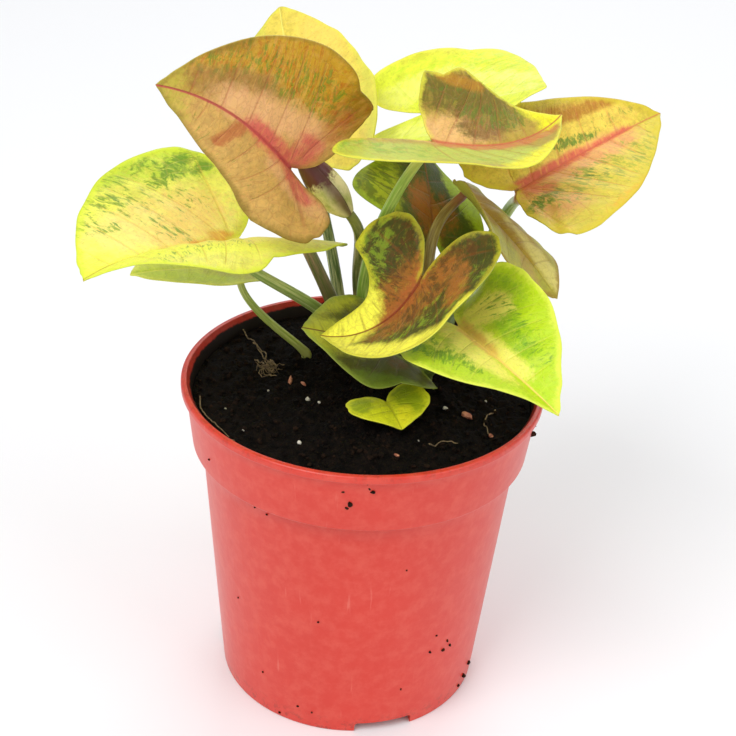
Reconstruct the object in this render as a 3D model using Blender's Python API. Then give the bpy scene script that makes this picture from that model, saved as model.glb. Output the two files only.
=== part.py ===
# Arrowhead plant in its nursery pot, in metres, +Z up.
# The pot is turned plastic with a raised, drained floor, and it is filled with peat.
# Each leaf is a heart-shaped blade on its own petiole, and every petiole stands in a hole in the peat.
# Lengths below are in millimetres and angles in degrees, measured from the pot's own axis at table level.
import math
from dataclasses import dataclass

import bmesh
import bpy
import numpy as np
from mathutils import Matrix, Vector

MM = 0.001
FIT_GAP = 0.3

# Pot
POT_HEIGHT = 57.0
RIM_RADIUS = 30.0
RIM_WIDTH = 1.0
LIP_HEIGHT = 1.2
COLLAR_TOP_RADIUS = 29.2
COLLAR_FOOT_RADIUS = 28.1
COLLAR_HEIGHT = 11.2
BODY_TOP_RADIUS = 26.5
BODY_FOOT_RADIUS = 22.5
POT_WALL = 0.8
EDGE_ROUND = 0.3
FLOOR_UNDERSIDE = 2.2
FLOOR_THICKNESS = 1.0
FOOT_RING_WIDTH = 1.0
FOOT_SLOTS = 3
FOOT_SLOT_WIDTH = 10.0
FOOT_SLOT_HEIGHT = 1.9
FRONT_SLOT_ANGLE = -72.0
DRAIN_HOLES = 6
DRAIN_HOLE_RADIUS = 3.0
DRAIN_RING_RADIUS = 13.0
POT_SIDES = 64
POT_COLOUR = (0.72, 0.09, 0.06)

# Peat
PEAT_TOP = 54.5
PEAT_CROWN = 0.7
PEAT_RIPPLE = 0.3
PEAT_SIDES = 40
PEAT_RINGS = 6
PEAT_COLOUR = (0.02, 0.014, 0.01)
HOLE_DEPTH = 6.0
HOLE_SIDES = 12

# Leaf blades
BLADE_THICKNESS = 0.7
BLADE_RINGS = (0.36, 0.70, 1.0)
HUB_AT = 0.15
NORMAL_STEP = 0.8
OUTLINE_STEPS = 2
LOBE_SPAN = 0.345
WIDEST_AT = 0.15
MARGIN_WAVES = 2.5
RIGHT_WAVE_SHIFT = 1.1
MIDRIB_STEPS = 12
# Half of the heart shape: distance along the midrib as a part of the length, and part of the half width.
# Behind the sinus, at 0, the distance is scaled so that -LOBE_SPAN is the end of the lobe.
HEART_HALF = (
    (1.00, 0.00), (0.96, 0.10), (0.86, 0.31), (0.66, 0.66), (0.42, 0.91), (0.15, 1.00), (-0.10, 0.95),
    (-0.25, 0.80), (-0.34, 0.60), (-0.345, 0.42), (-0.27, 0.22), (-0.12, 0.07), (0.0, 0.0),
)

# Petioles
PETIOLE_STEPS = 12
PETIOLE_SMOOTHNESS = 2
PETIOLE_COLOUR = (0.30, 0.38, 0.12)

# New leaf, still rolled
ROLL_BASE = (-3.7, 4.0, 84.5)
ROLL_AXIS = (-0.60, -0.10, 0.79)
ROLL_LENGTH = 12.5
ROLL_RADIUS = 3.2
ROLL_FOOT_SHARE = 0.35
ROLL_TIP_SHARE = 0.4
ROLL_WIDEST_AT = 0.4
ROLL_EDGE_STEP = 0.17
ROLL_SIDES = 16
ROLL_STEPS = 9
ROLL_COLOUR = (0.25, 0.12, 0.08)
ROLL_PETIOLE_FOOT = (0.4, 17.0)
ROLL_PETIOLE_RADIUS = (1.2, 0.85)
ROLL_PETIOLE_LEAN = (-0.3, 0.0)
ROLL_PETIOLE_RISE = 15.5
ROLL_PETIOLE_REACH = 6.5


@dataclass
class Leaf:
    """One heart-shaped leaf. Left and right are as seen from its upper face, looking to the tip."""
    name: str
    sinus: tuple
    heading: float
    pitch: float
    roll: float
    length: float
    half_width: tuple
    lobe: tuple
    fold: tuple
    foot: tuple
    petiole_radius: tuple
    lean: tuple
    rise: float
    reach: float
    arrival: tuple
    colour: tuple
    lobe_droop: float = 0.0
    curl: float = 0.0
    tip_lift: float = 0.0
    fold_change: tuple = (0.0, 0.0)
    cupping: tuple = (0.0, 0.0)
    fullness: tuple = (0.1, 0.1)
    wave: float = 0.35


LEAVES = (
    Leaf("upper_left", sinus=(-13.0, -3.5, 95.0), heading=233, pitch=47, roll=-30,
         length=31.5, half_width=(11.5, 16.0), lobe=(9.0, 6.5), fold=(-30, 75),
         curl=6, tip_lift=-27, lobe_droop=-30, fold_change=(-38, -2), cupping=(-24, 34),
         fullness=(-0.2, 0.2), colour=(0.45, 0.27, 0.13),
         foot=(-2.3, 13.0), petiole_radius=(1.2, 0.75), lean=(-0.4, -0.1), rise=31.5, reach=10.5,
         arrival=(0.5, -0.78, 0.38)),
    Leaf("top_back_left", sinus=(-13.0, 20.5, 92.0), heading=105, pitch=33, roll=-29,
         length=26.5, half_width=(14.5, 14.5), lobe=(10.5, 10.5), fold=(4, 8),
         curl=9, tip_lift=5, lobe_droop=8, fold_change=(-10, -1), cupping=(-2, -5),
         fullness=(0.1, -0.09), colour=(0.72, 0.62, 0.20),
         foot=(-4.2, 16.8), petiole_radius=(1.2, 0.75), lean=(0.0, 0.1), rise=5.6, reach=11.9,
         arrival=(-0.3, -0.3, 0.91)),
    Leaf("left", sinus=(-22.0, 0.0, 80.0), heading=225, pitch=13, roll=23,
         length=29.5, half_width=(15.0, 20.0), lobe=(17.0, 7.5), fold=(13, 52),
         tip_lift=-24, lobe_droop=4, fold_change=(1, -26), cupping=(-48, 3),
         fullness=(0.34, 0.03), colour=(0.62, 0.68, 0.14),
         foot=(-2.0, 9.5), petiole_radius=(1.2, 0.75), lean=(-0.1, -0.1), rise=10.4, reach=5.7,
         arrival=(-0.45, 0.07, 0.89)),
    Leaf("left_lower", sinus=(-21.5, 11.5, 69.5), heading=210, pitch=17, roll=-1,
         length=20.0, half_width=(8.5, 11.0), lobe=(4.5, 6.5), fold=(12, 12),
         curl=18, tip_lift=2, lobe_droop=5, fold_change=(-9, 0), cupping=(2, 0),
         fullness=(0.13, 0.12), colour=(0.55, 0.66, 0.20),
         foot=(-9.9, 9.3), petiole_radius=(0.75, 0.6), lean=(-0.5, -0.1), rise=2.5, reach=5.5,
         arrival=(0.03, 0.27, 0.96)),
    Leaf("top_back_right", sinus=(8.0, 26.0, 94.0), heading=329, pitch=26, roll=23,
         length=23.5, half_width=(15.0, 13.5), lobe=(13.0, 9.5), fold=(14, 8),
         curl=7, tip_lift=5, fold_change=(-36, 3), cupping=(-10, 2),
         fullness=(0.2, 0.11), colour=(0.74, 0.76, 0.16),
         foot=(3.1, 19.1), petiole_radius=(1.2, 0.75), lean=(-0.1, 0.2), rise=25.2, reach=6.3,
         arrival=(0.1, -0.44, 0.89)),
    Leaf("top_front", sinus=(8.5, -1.0, 99.5), heading=15, pitch=-11, roll=-19,
         length=22.5, half_width=(13.5, 12.5), lobe=(1.5, 17.0), fold=(46, -11),
         curl=-4, tip_lift=52, lobe_droop=3, fold_change=(-11, 9), cupping=(16, -6),
         fullness=(0.28, 0.16), colour=(0.36, 0.28, 0.10),
         foot=(2.4, 11.9), petiole_radius=(1.2, 0.75), lean=(-0.8, -0.1), rise=9.7, reach=12.5,
         arrival=(0.48, -0.42, 0.77)),
    Leaf("right", sinus=(23.5, 12.0, 87.0), heading=29, pitch=22, roll=1,
         length=28.5, half_width=(15.5, 17.0), lobe=(5.0, 3.0), fold=(23, 8),
         curl=1, tip_lift=-5, lobe_droop=5, fold_change=(9, -9), cupping=(-6, -21),
         fullness=(-0.01, -0.06), colour=(0.62, 0.42, 0.20),
         foot=(11.8, 13.8), petiole_radius=(1.2, 0.75), lean=(0.6, 1.0), rise=27.0, reach=9.5,
         arrival=(0.02, -0.64, 0.77)),
    Leaf("right_drooping", sinus=(15.0, 13.0, 85.5), heading=333, pitch=-31, roll=-25,
         length=23.0, half_width=(11.5, 11.5), lobe=(2.0, 2.0), fold=(20, 3),
         curl=15, tip_lift=3, lobe_droop=10, fold_change=(18, -27), cupping=(-49, 15),
         fullness=(0.62, 0.13), colour=(0.52, 0.42, 0.20),
         foot=(11.0, 10.8), petiole_radius=(1.2, 0.75), lean=(-0.1, -0.6), rise=27.8, reach=7.6,
         arrival=(0.74, 0.3, 0.6)),
    Leaf("centre", sinus=(8.0, -8.0, 79.5), heading=213, pitch=-62, roll=45,
         length=19.5, half_width=(15.5, 15.0), lobe=(13.0, 7.0), fold=(-34, 50),
         curl=-51, tip_lift=24, lobe_droop=5, fold_change=(31, -17), cupping=(10, 12),
         fullness=(0.02, -0.43), colour=(0.30, 0.30, 0.08),
         foot=(5.9, 8.6), petiole_radius=(1.2, 0.75), lean=(0.1, 0.5), rise=16.8, reach=13.0,
         arrival=(-0.62, -0.67, 0.41)),
    Leaf("lower_right", sinus=(14.5, -8.5, 72.0), heading=296, pitch=6, roll=39,
         length=24.5, half_width=(13.0, 12.5), lobe=(8.5, 9.0), fold=(1, 37),
         curl=40, lobe_droop=34, fold_change=(4, 36), cupping=(9, -11),
         fullness=(0.01, 0.18), colour=(0.40, 0.62, 0.08),
         foot=(10.2, 3.6), petiole_radius=(1.2, 0.75), lean=(0.1, -0.3), rise=3.2, reach=4.1,
         arrival=(-0.2, 0.2, 0.95)),
    Leaf("under_centre", sinus=(4.5, -1.0, 62.5), heading=205, pitch=31, roll=-10,
         length=17.5, half_width=(10.0, 10.0), lobe=(7.0, 7.0), fold=(8, 12),
         curl=17, tip_lift=4, lobe_droop=12, fold_change=(-16, 0), cupping=(-6, 0),
         fullness=(0.29, 0.12), colour=(0.14, 0.18, 0.05),
         foot=(4.3, 3.2), petiole_radius=(0.9, 0.6), lean=(0.0, -0.2), rise=1.4, reach=1.3,
         arrival=(0.36, -0.36, 0.86)),
    Leaf("behind_centre", sinus=(10.0, 13.5, 78.0), heading=98, pitch=55, roll=25,
         length=16.5, half_width=(11.0, 11.0), lobe=(5.0, 6.0), fold=(20, -2),
         curl=25, tip_lift=2, lobe_droop=10, fold_change=(-26, -31), cupping=(-15, 2),
         fullness=(0.55, 0.07), colour=(0.30, 0.44, 0.08),
         foot=(5.7, 12.6), petiole_radius=(1.1, 0.7), lean=(0.1, 0.1), rise=19.8, reach=1.5,
         arrival=(0.53, -0.46, 0.71)),
    Leaf("small_heart", sinus=(4.0, -8.5, 57.5), heading=292, pitch=0, roll=3,
         length=7.0, half_width=(6.5, 7.0), lobe=(2.5, 2.5), fold=(13, 8),
         curl=18, lobe_droop=9, fold_change=(-12, 11), cupping=(3, -5), wave=0.0,
         fullness=(0.1, 0.11), colour=(0.66, 0.68, 0.08),
         foot=(4.1, -8.0), petiole_radius=(0.55, 0.5), lean=(0.0, -0.1), rise=0.6, reach=0.6,
         arrival=(-0.05, -0.2, 0.97)),
)


def clear_scene():
    """Start from an empty scene."""
    for old in list(bpy.data.objects):
        bpy.data.objects.remove(old, do_unlink=True)


def make_material(name, colour, roughness):
    """A plain Principled material."""
    material = bpy.data.materials.new(name)
    material.use_nodes = True
    shader = material.node_tree.nodes["Principled BSDF"]
    shader.inputs["Base Color"].default_value = (*colour, 1.0)
    shader.inputs["Roughness"].default_value = roughness
    shader.inputs["Metallic"].default_value = 0.0
    return material


def add_object(name, data, material):
    """Put a mesh or a curve into the scene under its node's name."""
    data.materials.append(material)
    piece = bpy.data.objects.new(name, data)
    bpy.context.scene.collection.objects.link(piece)
    return piece


def mesh_from(name, vertices, faces):
    """A mesh from millimetre points."""
    mesh = bpy.data.meshes.new(name)
    mesh.from_pydata([tuple(MM * value for value in point) for point in vertices], [], faces)
    mesh.update()
    return mesh


def turned_mesh(name, profile, sides):
    """Turn a profile of (radius, height) points about Z, from one point on the axis to another."""
    vertices = [(0.0, 0.0, profile[0][1])]
    for radius, height in profile[1:-1]:
        for step in range(sides):
            angle = 2 * math.pi * step / sides
            vertices.append((radius * math.cos(angle), radius * math.sin(angle), height))
    vertices.append((0.0, 0.0, profile[-1][1]))
    last = len(vertices) - 1
    top_row = last - sides
    faces = []
    for step in range(sides):
        after = (step + 1) % sides
        faces.append((0, 1 + after, 1 + step))
        faces.append((last, top_row + step, top_row + after))
        for low in range(1, top_row, sides):
            faces.append((low + step, low + after, low + sides + after, low + sides + step))
    return mesh_from(name, vertices, faces)


def cylinder_into(builder, centre, radius, bottom, top):
    """Add a closed upright cylinder to a bmesh, in millimetres."""
    place = Matrix.Translation(Vector((centre[0], centre[1], (bottom + top) / 2)) * MM)
    bmesh.ops.create_cone(builder, cap_ends=True, segments=HOLE_SIDES, radius1=radius * MM,
                          radius2=radius * MM, depth=(top - bottom) * MM, matrix=place)


def box_into(builder, centre, angle, size):
    """Add a closed box to a bmesh, turned about Z, in millimetres."""
    stretch = Matrix.Diagonal((*(MM * value for value in size), 1.0))
    place = Matrix.Translation(Vector(centre) * MM) @ Matrix.Rotation(angle, 4, "Z")
    bmesh.ops.create_cube(builder, size=1.0, matrix=place @ stretch)


def cut_with(piece, name, builder):
    """Cut a piece with the closed shapes in a bmesh."""
    cutter_mesh = bpy.data.meshes.new(name)
    builder.to_mesh(cutter_mesh)
    builder.free()
    cutter = bpy.data.objects.new(name, cutter_mesh)
    bpy.context.scene.collection.objects.link(cutter)
    cutter.hide_render = True
    cutter.display_type = "WIRE"
    cut = piece.modifiers.new(name, "BOOLEAN")
    cut.operation = "DIFFERENCE"
    cut.solver = "EXACT"
    cut.object = cutter


def inner_radius(height):
    """Radius of the pot's inner wall at a height."""
    collar_foot = POT_HEIGHT - COLLAR_HEIGHT
    if height <= collar_foot:
        part = height / collar_foot
        return BODY_FOOT_RADIUS + part * (BODY_TOP_RADIUS - BODY_FOOT_RADIUS) - POT_WALL
    part = (height - collar_foot) / COLLAR_HEIGHT
    return COLLAR_FOOT_RADIUS + part * (COLLAR_TOP_RADIUS - COLLAR_FOOT_RADIUS) - POT_WALL


def pot_profile():
    """Outline of the pot's section: underside, foot ring, body, collar, lip, then down the inside."""
    collar_foot = POT_HEIGHT - COLLAR_HEIGHT
    lip_foot = POT_HEIGHT - LIP_HEIGHT
    step_top = collar_foot + POT_WALL + EDGE_ROUND
    floor_top = FLOOR_UNDERSIDE + FLOOR_THICKNESS
    foot_inside = BODY_FOOT_RADIUS - FOOT_RING_WIDTH
    return [
        (0.0, FLOOR_UNDERSIDE), (foot_inside, FLOOR_UNDERSIDE), (foot_inside, 0.0), (BODY_FOOT_RADIUS, 0.0),
        (BODY_TOP_RADIUS, collar_foot), (COLLAR_FOOT_RADIUS - EDGE_ROUND, collar_foot),
        (COLLAR_FOOT_RADIUS, collar_foot + EDGE_ROUND), (COLLAR_TOP_RADIUS, lip_foot - EDGE_ROUND),
        (RIM_RADIUS, lip_foot), (RIM_RADIUS, POT_HEIGHT - EDGE_ROUND), (RIM_RADIUS - EDGE_ROUND, POT_HEIGHT),
        (RIM_RADIUS - RIM_WIDTH, POT_HEIGHT), (inner_radius(lip_foot), lip_foot),
        (inner_radius(step_top), step_top), (inner_radius(collar_foot), collar_foot),
        (inner_radius(floor_top), floor_top), (0.0, floor_top),
    ]


def foot_slot_shapes():
    """Boxes that notch the foot ring, so that water can run out."""
    slots = bmesh.new()
    reach = BODY_FOOT_RADIUS - FOOT_RING_WIDTH / 2
    size = (4 * FOOT_RING_WIDTH, FOOT_SLOT_WIDTH, 2 * FOOT_SLOT_HEIGHT)
    for slot in range(FOOT_SLOTS):
        angle = math.radians(FRONT_SLOT_ANGLE + 360.0 * slot / FOOT_SLOTS)
        box_into(slots, (reach * math.cos(angle), reach * math.sin(angle), 0.0), angle, size)
    return slots


def drain_hole_shapes():
    """Cylinders that bore the floor."""
    drains = bmesh.new()
    for hole in range(DRAIN_HOLES):
        angle = 2 * math.pi * (hole + 0.5) / DRAIN_HOLES
        centre = (DRAIN_RING_RADIUS * math.cos(angle), DRAIN_RING_RADIUS * math.sin(angle))
        cylinder_into(drains, centre, DRAIN_HOLE_RADIUS, 0.0, 2 * (FLOOR_UNDERSIDE + FLOOR_THICKNESS))
    return drains


def build_pot():
    """Thin plastic pot with a collar, a lip, a raised floor with drain holes and a slotted foot ring."""
    mesh = turned_mesh("pot", pot_profile(), POT_SIDES)
    mesh.shade_smooth()
    mesh.set_sharp_from_angle(angle=math.radians(35))
    pot = add_object("pot", mesh, make_material("pot_plastic", POT_COLOUR, 0.35))
    cut_with(pot, "foot_slot_cutter", foot_slot_shapes())
    cut_with(pot, "drain_hole_cutter", drain_hole_shapes())


def peat_height(x, y, edge_radius):
    """Uneven top of the peat: a low crown with ripples a few millimetres long."""
    share = min(1.0, math.hypot(x, y) / edge_radius)
    ripple = math.sin(0.55 * x + 1.3) * math.cos(0.62 * y - 0.4) + 0.6 * math.sin(0.31 * (x + y) + 0.8)
    return PEAT_TOP + PEAT_CROWN * (1.0 - share ** 2) + PEAT_RIPPLE * ripple * (1.0 - share ** 6)


def petiole_hole_shapes():
    """Cylinders that bore the peat, one for each petiole."""
    holes = bmesh.new()
    stands = [(leaf.foot, leaf.petiole_radius[0]) for leaf in LEAVES]
    stands.append((ROLL_PETIOLE_FOOT, ROLL_PETIOLE_RADIUS[0]))
    for foot, radius in stands:
        cylinder_into(holes, foot, radius + FIT_GAP, PEAT_TOP - HOLE_DEPTH, PEAT_TOP + HOLE_DEPTH)
    return holes


def build_peat():
    """Peat that fills the pot up to just under its rim, with a hole for every petiole."""
    floor_top = FLOOR_UNDERSIDE + FLOOR_THICKNESS
    collar_foot = POT_HEIGHT - COLLAR_HEIGHT
    step_top = collar_foot + POT_WALL + EDGE_ROUND
    heights = (floor_top + FIT_GAP, collar_foot, step_top, PEAT_TOP)
    side = [(inner_radius(height) - FIT_GAP, height) for height in heights]
    edge_radius = side[-1][0]
    top = [(edge_radius * ring / PEAT_RINGS, PEAT_TOP) for ring in range(PEAT_RINGS - 1, -1, -1)]
    mesh = turned_mesh("peat", [(0.0, side[0][1])] + side + top, PEAT_SIDES)
    for vertex in mesh.vertices:
        x, y, z = vertex.co / MM
        if z > PEAT_TOP - FIT_GAP:
            vertex.co.z = peat_height(x, y, edge_radius) * MM
    peat = add_object("peat", mesh, make_material("peat", PEAT_COLOUR, 0.9))
    cut_with(peat, "petiole_hole_cutter", petiole_hole_shapes())


def leaf_frame(leaf):
    """Directions at the sinus: along the midrib, to the left, and out of the upper face."""
    heading, pitch, roll = (math.radians(value) for value in (leaf.heading, leaf.pitch, leaf.roll))
    level = np.array([math.cos(heading), math.sin(heading), 0.0])
    along = level * math.cos(pitch) + np.array([0.0, 0.0, math.sin(pitch)])
    level_left = np.array([-math.sin(heading), math.cos(heading), 0.0])
    level_up = np.cross(along, level_left)
    left = level_left * math.cos(roll) + level_up * math.sin(roll)
    up = level_up * math.cos(roll) - level_left * math.sin(roll)
    return along, left, up


def midrib_slope(leaf, distance):
    """Slope of the midrib, in radians, at a distance from the sinus; behind it the lobes' own droop."""
    if distance < 0.0:
        return math.radians(leaf.lobe_droop) * -distance / (LOBE_SPAN * leaf.length)
    share = distance / leaf.length
    return math.radians(leaf.tip_lift * share * share - leaf.curl * share)


def midrib_point(leaf, distance):
    """Forward reach and height of the midrib at a distance from the sinus."""
    if distance < 0.0:
        slope = midrib_slope(leaf, distance) / 2
        return distance * math.cos(slope), distance * math.sin(slope)
    slopes = [midrib_slope(leaf, distance * (step + 0.5) / MIDRIB_STEPS) for step in range(MIDRIB_STEPS)]
    forward = distance * sum(math.cos(slope) for slope in slopes) / MIDRIB_STEPS
    height = distance * sum(math.sin(slope) for slope in slopes) / MIDRIB_STEPS
    return forward, height


def blade_point(leaf, distance, across):
    """Place of a point of the flat heart after the blade is folded, cupped and curled."""
    along, left, up = leaf_frame(leaf)
    forward, height = midrib_point(leaf, distance)
    slope = midrib_slope(leaf, distance)
    side = 0 if across >= 0.0 else 1
    fold = math.radians(leaf.fold[side] + leaf.fold_change[side] * distance / leaf.length)
    half_turn = math.radians(leaf.cupping[side]) * abs(across) / leaf.half_width[side] / 2
    chord = abs(across) * (math.sin(half_turn) / half_turn if abs(half_turn) > 1e-6 else 1.0)
    outward = chord * math.cos(fold + half_turn) * (1.0 if side == 0 else -1.0)
    lifted = chord * math.sin(fold + half_turn)
    forward -= lifted * math.sin(slope)
    height += lifted * math.cos(slope)
    return np.array(leaf.sinus) + along * forward + up * height + left * outward


def blade_normal(leaf, distance, across):
    """Unit normal out of the upper face, evened out over a short reach so that the midrib's fold is rounded."""
    step = NORMAL_STEP
    forward = blade_point(leaf, distance + step, across) - blade_point(leaf, distance - step, across)
    sideways = blade_point(leaf, distance, across + step) - blade_point(leaf, distance, across - step)
    normal = np.cross(forward, sideways)
    return normal / np.linalg.norm(normal)


def smooth_outline(points, steps):
    """Points on a smooth curve through the given ones, without its last point."""
    row = [2 * points[0] - points[1], *points, 2 * points[-1] - points[-2]]
    curve = []
    for before, start, end, beyond in zip(row, row[1:], row[2:], row[3:]):
        for step in range(steps):
            share = step / steps
            bend = (2 * before - 5 * start + 4 * end - beyond) * share ** 2
            swing = (3 * start - before - 3 * end + beyond) * share ** 3
            curve.append(start + ((end - before) * share + bend + swing) / 2)
    return curve


def heart_side(leaf, side):
    """Flat outline of one half, from the tip to near the sinus, as (distance, across) in millimetres."""
    points = []
    for share, width in smooth_outline([np.array(point) for point in HEART_HALF], OUTLINE_STEPS):
        distance = share * leaf.length if share > 0 else share / LOBE_SPAN * leaf.lobe[side]
        shoulder = min(1.0, max(0.0, (share - WIDEST_AT) / (1.0 - WIDEST_AT)))
        full = 1.0 + leaf.fullness[side] * 4.0 * shoulder * (1.0 - shoulder)
        across = width * full * leaf.half_width[side]
        points.append((distance, across if side == 0 else -across))
    return points


def margin_wave(leaf, ray, tip_ray):
    """Lift of the margin where a ray meets it; the wave dies out at the tip and at the sinus."""
    share = abs(ray - tip_ray) / tip_ray
    shift = RIGHT_WAVE_SHIFT if ray > tip_ray else 0.0
    return leaf.wave * math.sin(2 * math.pi * MARGIN_WAVES * share + shift) * math.sin(math.pi * share)


def blade_sheet(leaf, outline, tip_ray):
    """Points of the blade's middle surface with their normals: the hub, then each ray from it, ring by ring."""
    hub = HUB_AT * leaf.length
    sheet = [(blade_point(leaf, hub, 0.0), blade_normal(leaf, hub, 0.0))]
    for ray, (distance, across) in enumerate(outline):
        for ring in BLADE_RINGS:
            place = (leaf, hub + (distance - hub) * ring, across * ring)
            normal = blade_normal(*place)
            lift = margin_wave(leaf, ray, tip_ray) * ring * ring
            sheet.append((blade_point(*place) + normal * lift, normal))
    return sheet


def fan_faces(rays, rings):
    """Triangles of a sheet that is a closed fan of rays round its hub, facing up, for rays in clockwise order."""
    faces = []
    for ray in range(rays):
        here = 1 + ray * rings
        after = 1 + (ray + 1) % rays * rings
        faces.append((0, after, here))
        for ring in range(rings - 1):
            faces.append((here + ring, after + ring, after + ring + 1))
            faces.append((here + ring, after + ring + 1, here + ring + 1))
    return faces


def build_blade(leaf):
    """Heart-shaped blade: one bent sheet laid half the thickness above its middle and again below, and closed."""
    right_side = heart_side(leaf, 1)
    outline = [(0.0, 0.0)] + heart_side(leaf, 0)[::-1] + right_side[1:]
    sheet = blade_sheet(leaf, outline, len(right_side))
    upper = [point + normal * BLADE_THICKNESS / 2 for point, normal in sheet]
    lower = [point - normal * BLADE_THICKNESS / 2 for point, normal in sheet]
    under = len(upper)
    rays = len(outline)
    rings = len(BLADE_RINGS)
    upper_faces = fan_faces(rays, rings)
    lower_faces = [tuple(under + corner for corner in reversed(face)) for face in upper_faces]
    edge_faces = []
    for ray in range(rays):
        here = (ray + 1) * rings
        after = ((ray + 1) % rays + 1) * rings
        edge_faces.append((here, after, under + after))
        edge_faces.append((here, under + after, under + here))
    name = "blade_" + leaf.name
    mesh = mesh_from(name, upper + lower, upper_faces + lower_faces + edge_faces)
    mesh.shade_smooth()
    mesh.set_sharp_from_angle(angle=math.radians(50))
    add_object(name, mesh, make_material(name, leaf.colour, 0.4))


def bezier(points, share):
    """Point of a cubic curve."""
    rest = 1.0 - share
    weights = (rest ** 3, 3 * rest * rest * share, 3 * rest * share * share, share ** 3)
    return sum(weight * point for weight, point in zip(weights, points))


def petiole_route(foot, lean, rise, top, arrival, reach):
    """Centre line: straight up out of its hole, then one smooth curve to the blade."""
    bottom = np.array([foot[0], foot[1], PEAT_TOP - HOLE_DEPTH + FIT_GAP])
    collar = np.array([foot[0], foot[1], PEAT_TOP + 1.0])
    rising = collar + np.array([lean[0], lean[1], 1.0]) * rise
    nearing = top - arrival * reach
    points = (collar, rising, nearing, top)
    return [bottom] + [bezier(points, step / PETIOLE_STEPS) for step in range(PETIOLE_STEPS + 1)]


def build_petiole(name, route, radii):
    """Round tapering petiole along its centre line, with flat ends."""
    curve = bpy.data.curves.new(name, "CURVE")
    curve.dimensions = "3D"
    curve.bevel_depth = MM
    curve.bevel_resolution = PETIOLE_SMOOTHNESS
    curve.use_fill_caps = True
    spline = curve.splines.new("POLY")
    spline.points.add(len(route) - 1)
    for step, point in enumerate(route):
        share = max(0, step - 1) / PETIOLE_STEPS
        spline.points[step].co = (*(point * MM), 1.0)
        spline.points[step].radius = radii[0] + share * (radii[1] - radii[0])
    add_object(name, curve, make_material(name, PETIOLE_COLOUR, 0.45))


def build_leaf(leaf):
    """A blade and the petiole that carries it, which ends just under the sinus."""
    build_blade(leaf)
    arrival = np.array(leaf.arrival) / np.linalg.norm(leaf.arrival)
    face = blade_normal(leaf, 0.0, 0.0)
    tilt = math.sqrt(max(0.0, 1.0 - float(arrival @ face) ** 2))
    clearance = BLADE_THICKNESS / 2 + FIT_GAP + leaf.petiole_radius[1] * tilt
    top = np.array(leaf.sinus) - face * clearance
    route = petiole_route(leaf.foot, leaf.lean, leaf.rise, top, arrival, leaf.reach)
    build_petiole("petiole_" + leaf.name, route, leaf.petiole_radius)


def roll_radius(share):
    """Radius of the rolled leaf along its length: slim foot, belly, slim tip."""
    if share < ROLL_WIDEST_AT:
        swell = math.sin(math.pi / 2 * share / ROLL_WIDEST_AT)
        return ROLL_RADIUS * (ROLL_FOOT_SHARE + (1.0 - ROLL_FOOT_SHARE) * swell)
    taper = (share - ROLL_WIDEST_AT) / (1.0 - ROLL_WIDEST_AT)
    return ROLL_RADIUS * (1.0 - (1.0 - ROLL_TIP_SHARE) * taper ** 2)


def build_rolled_leaf():
    """Newest leaf, still rolled round itself; its free edge stands out as a step along one side."""
    axis = Vector(ROLL_AXIS).normalized()
    turn = Vector((0.0, 0.0, 1.0)).rotation_difference(axis)
    base = Vector(ROLL_BASE)
    vertices = [tuple(base)]
    for step in range(ROLL_STEPS + 1):
        share = step / ROLL_STEPS
        for side in range(ROLL_SIDES + 1):
            angle = 2 * math.pi * side / ROLL_SIDES
            radius = roll_radius(share) * (1.0 + ROLL_EDGE_STEP * side / ROLL_SIDES)
            spot = Vector((radius * math.cos(angle), radius * math.sin(angle), ROLL_LENGTH * share))
            vertices.append(tuple(base + turn @ spot))
    vertices.append(tuple(base + axis * ROLL_LENGTH))
    last = len(vertices) - 1
    row = ROLL_SIDES + 1
    faces = []
    for side in range(row):
        after = (side + 1) % row
        faces.append((0, 1 + after, 1 + side))
        faces.append((last, last - row + side, last - row + after))
        for low in range(1, last - row, row):
            faces.append((low + side, low + after, low + row + after, low + row + side))
    mesh = mesh_from("rolled_leaf", vertices, faces)
    mesh.shade_smooth()
    add_object("rolled_leaf", mesh, make_material("rolled_leaf", ROLL_COLOUR, 0.4))
    top = np.array(base - axis * FIT_GAP)
    route = petiole_route(ROLL_PETIOLE_FOOT, ROLL_PETIOLE_LEAN, ROLL_PETIOLE_RISE, top, np.array(axis),
                          ROLL_PETIOLE_REACH)
    build_petiole("petiole_rolled_leaf", route, ROLL_PETIOLE_RADIUS)


def stand_on_origin():
    """Move everything so that the origin is under the middle of the whole plant, at the table."""
    graph = bpy.context.evaluated_depsgraph_get()
    points = []
    for piece in bpy.context.scene.objects:
        if not piece.hide_render:
            points += [vertex.co.copy() for vertex in piece.evaluated_get(graph).to_mesh().vertices]
    middle = [(min(point[i] for point in points) + max(point[i] for point in points)) / 2 for i in (0, 1)]
    for piece in bpy.context.scene.objects:
        piece.location = (-middle[0], -middle[1], 0.0)


clear_scene()
build_pot()
build_peat()
for each_leaf in LEAVES:
    build_leaf(each_leaf)
build_rolled_leaf()
stand_on_origin()
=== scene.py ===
import math
import random
from dataclasses import dataclass

import bmesh
import bpy
import numpy as np
from mathutils import Matrix, Vector, noise


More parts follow.
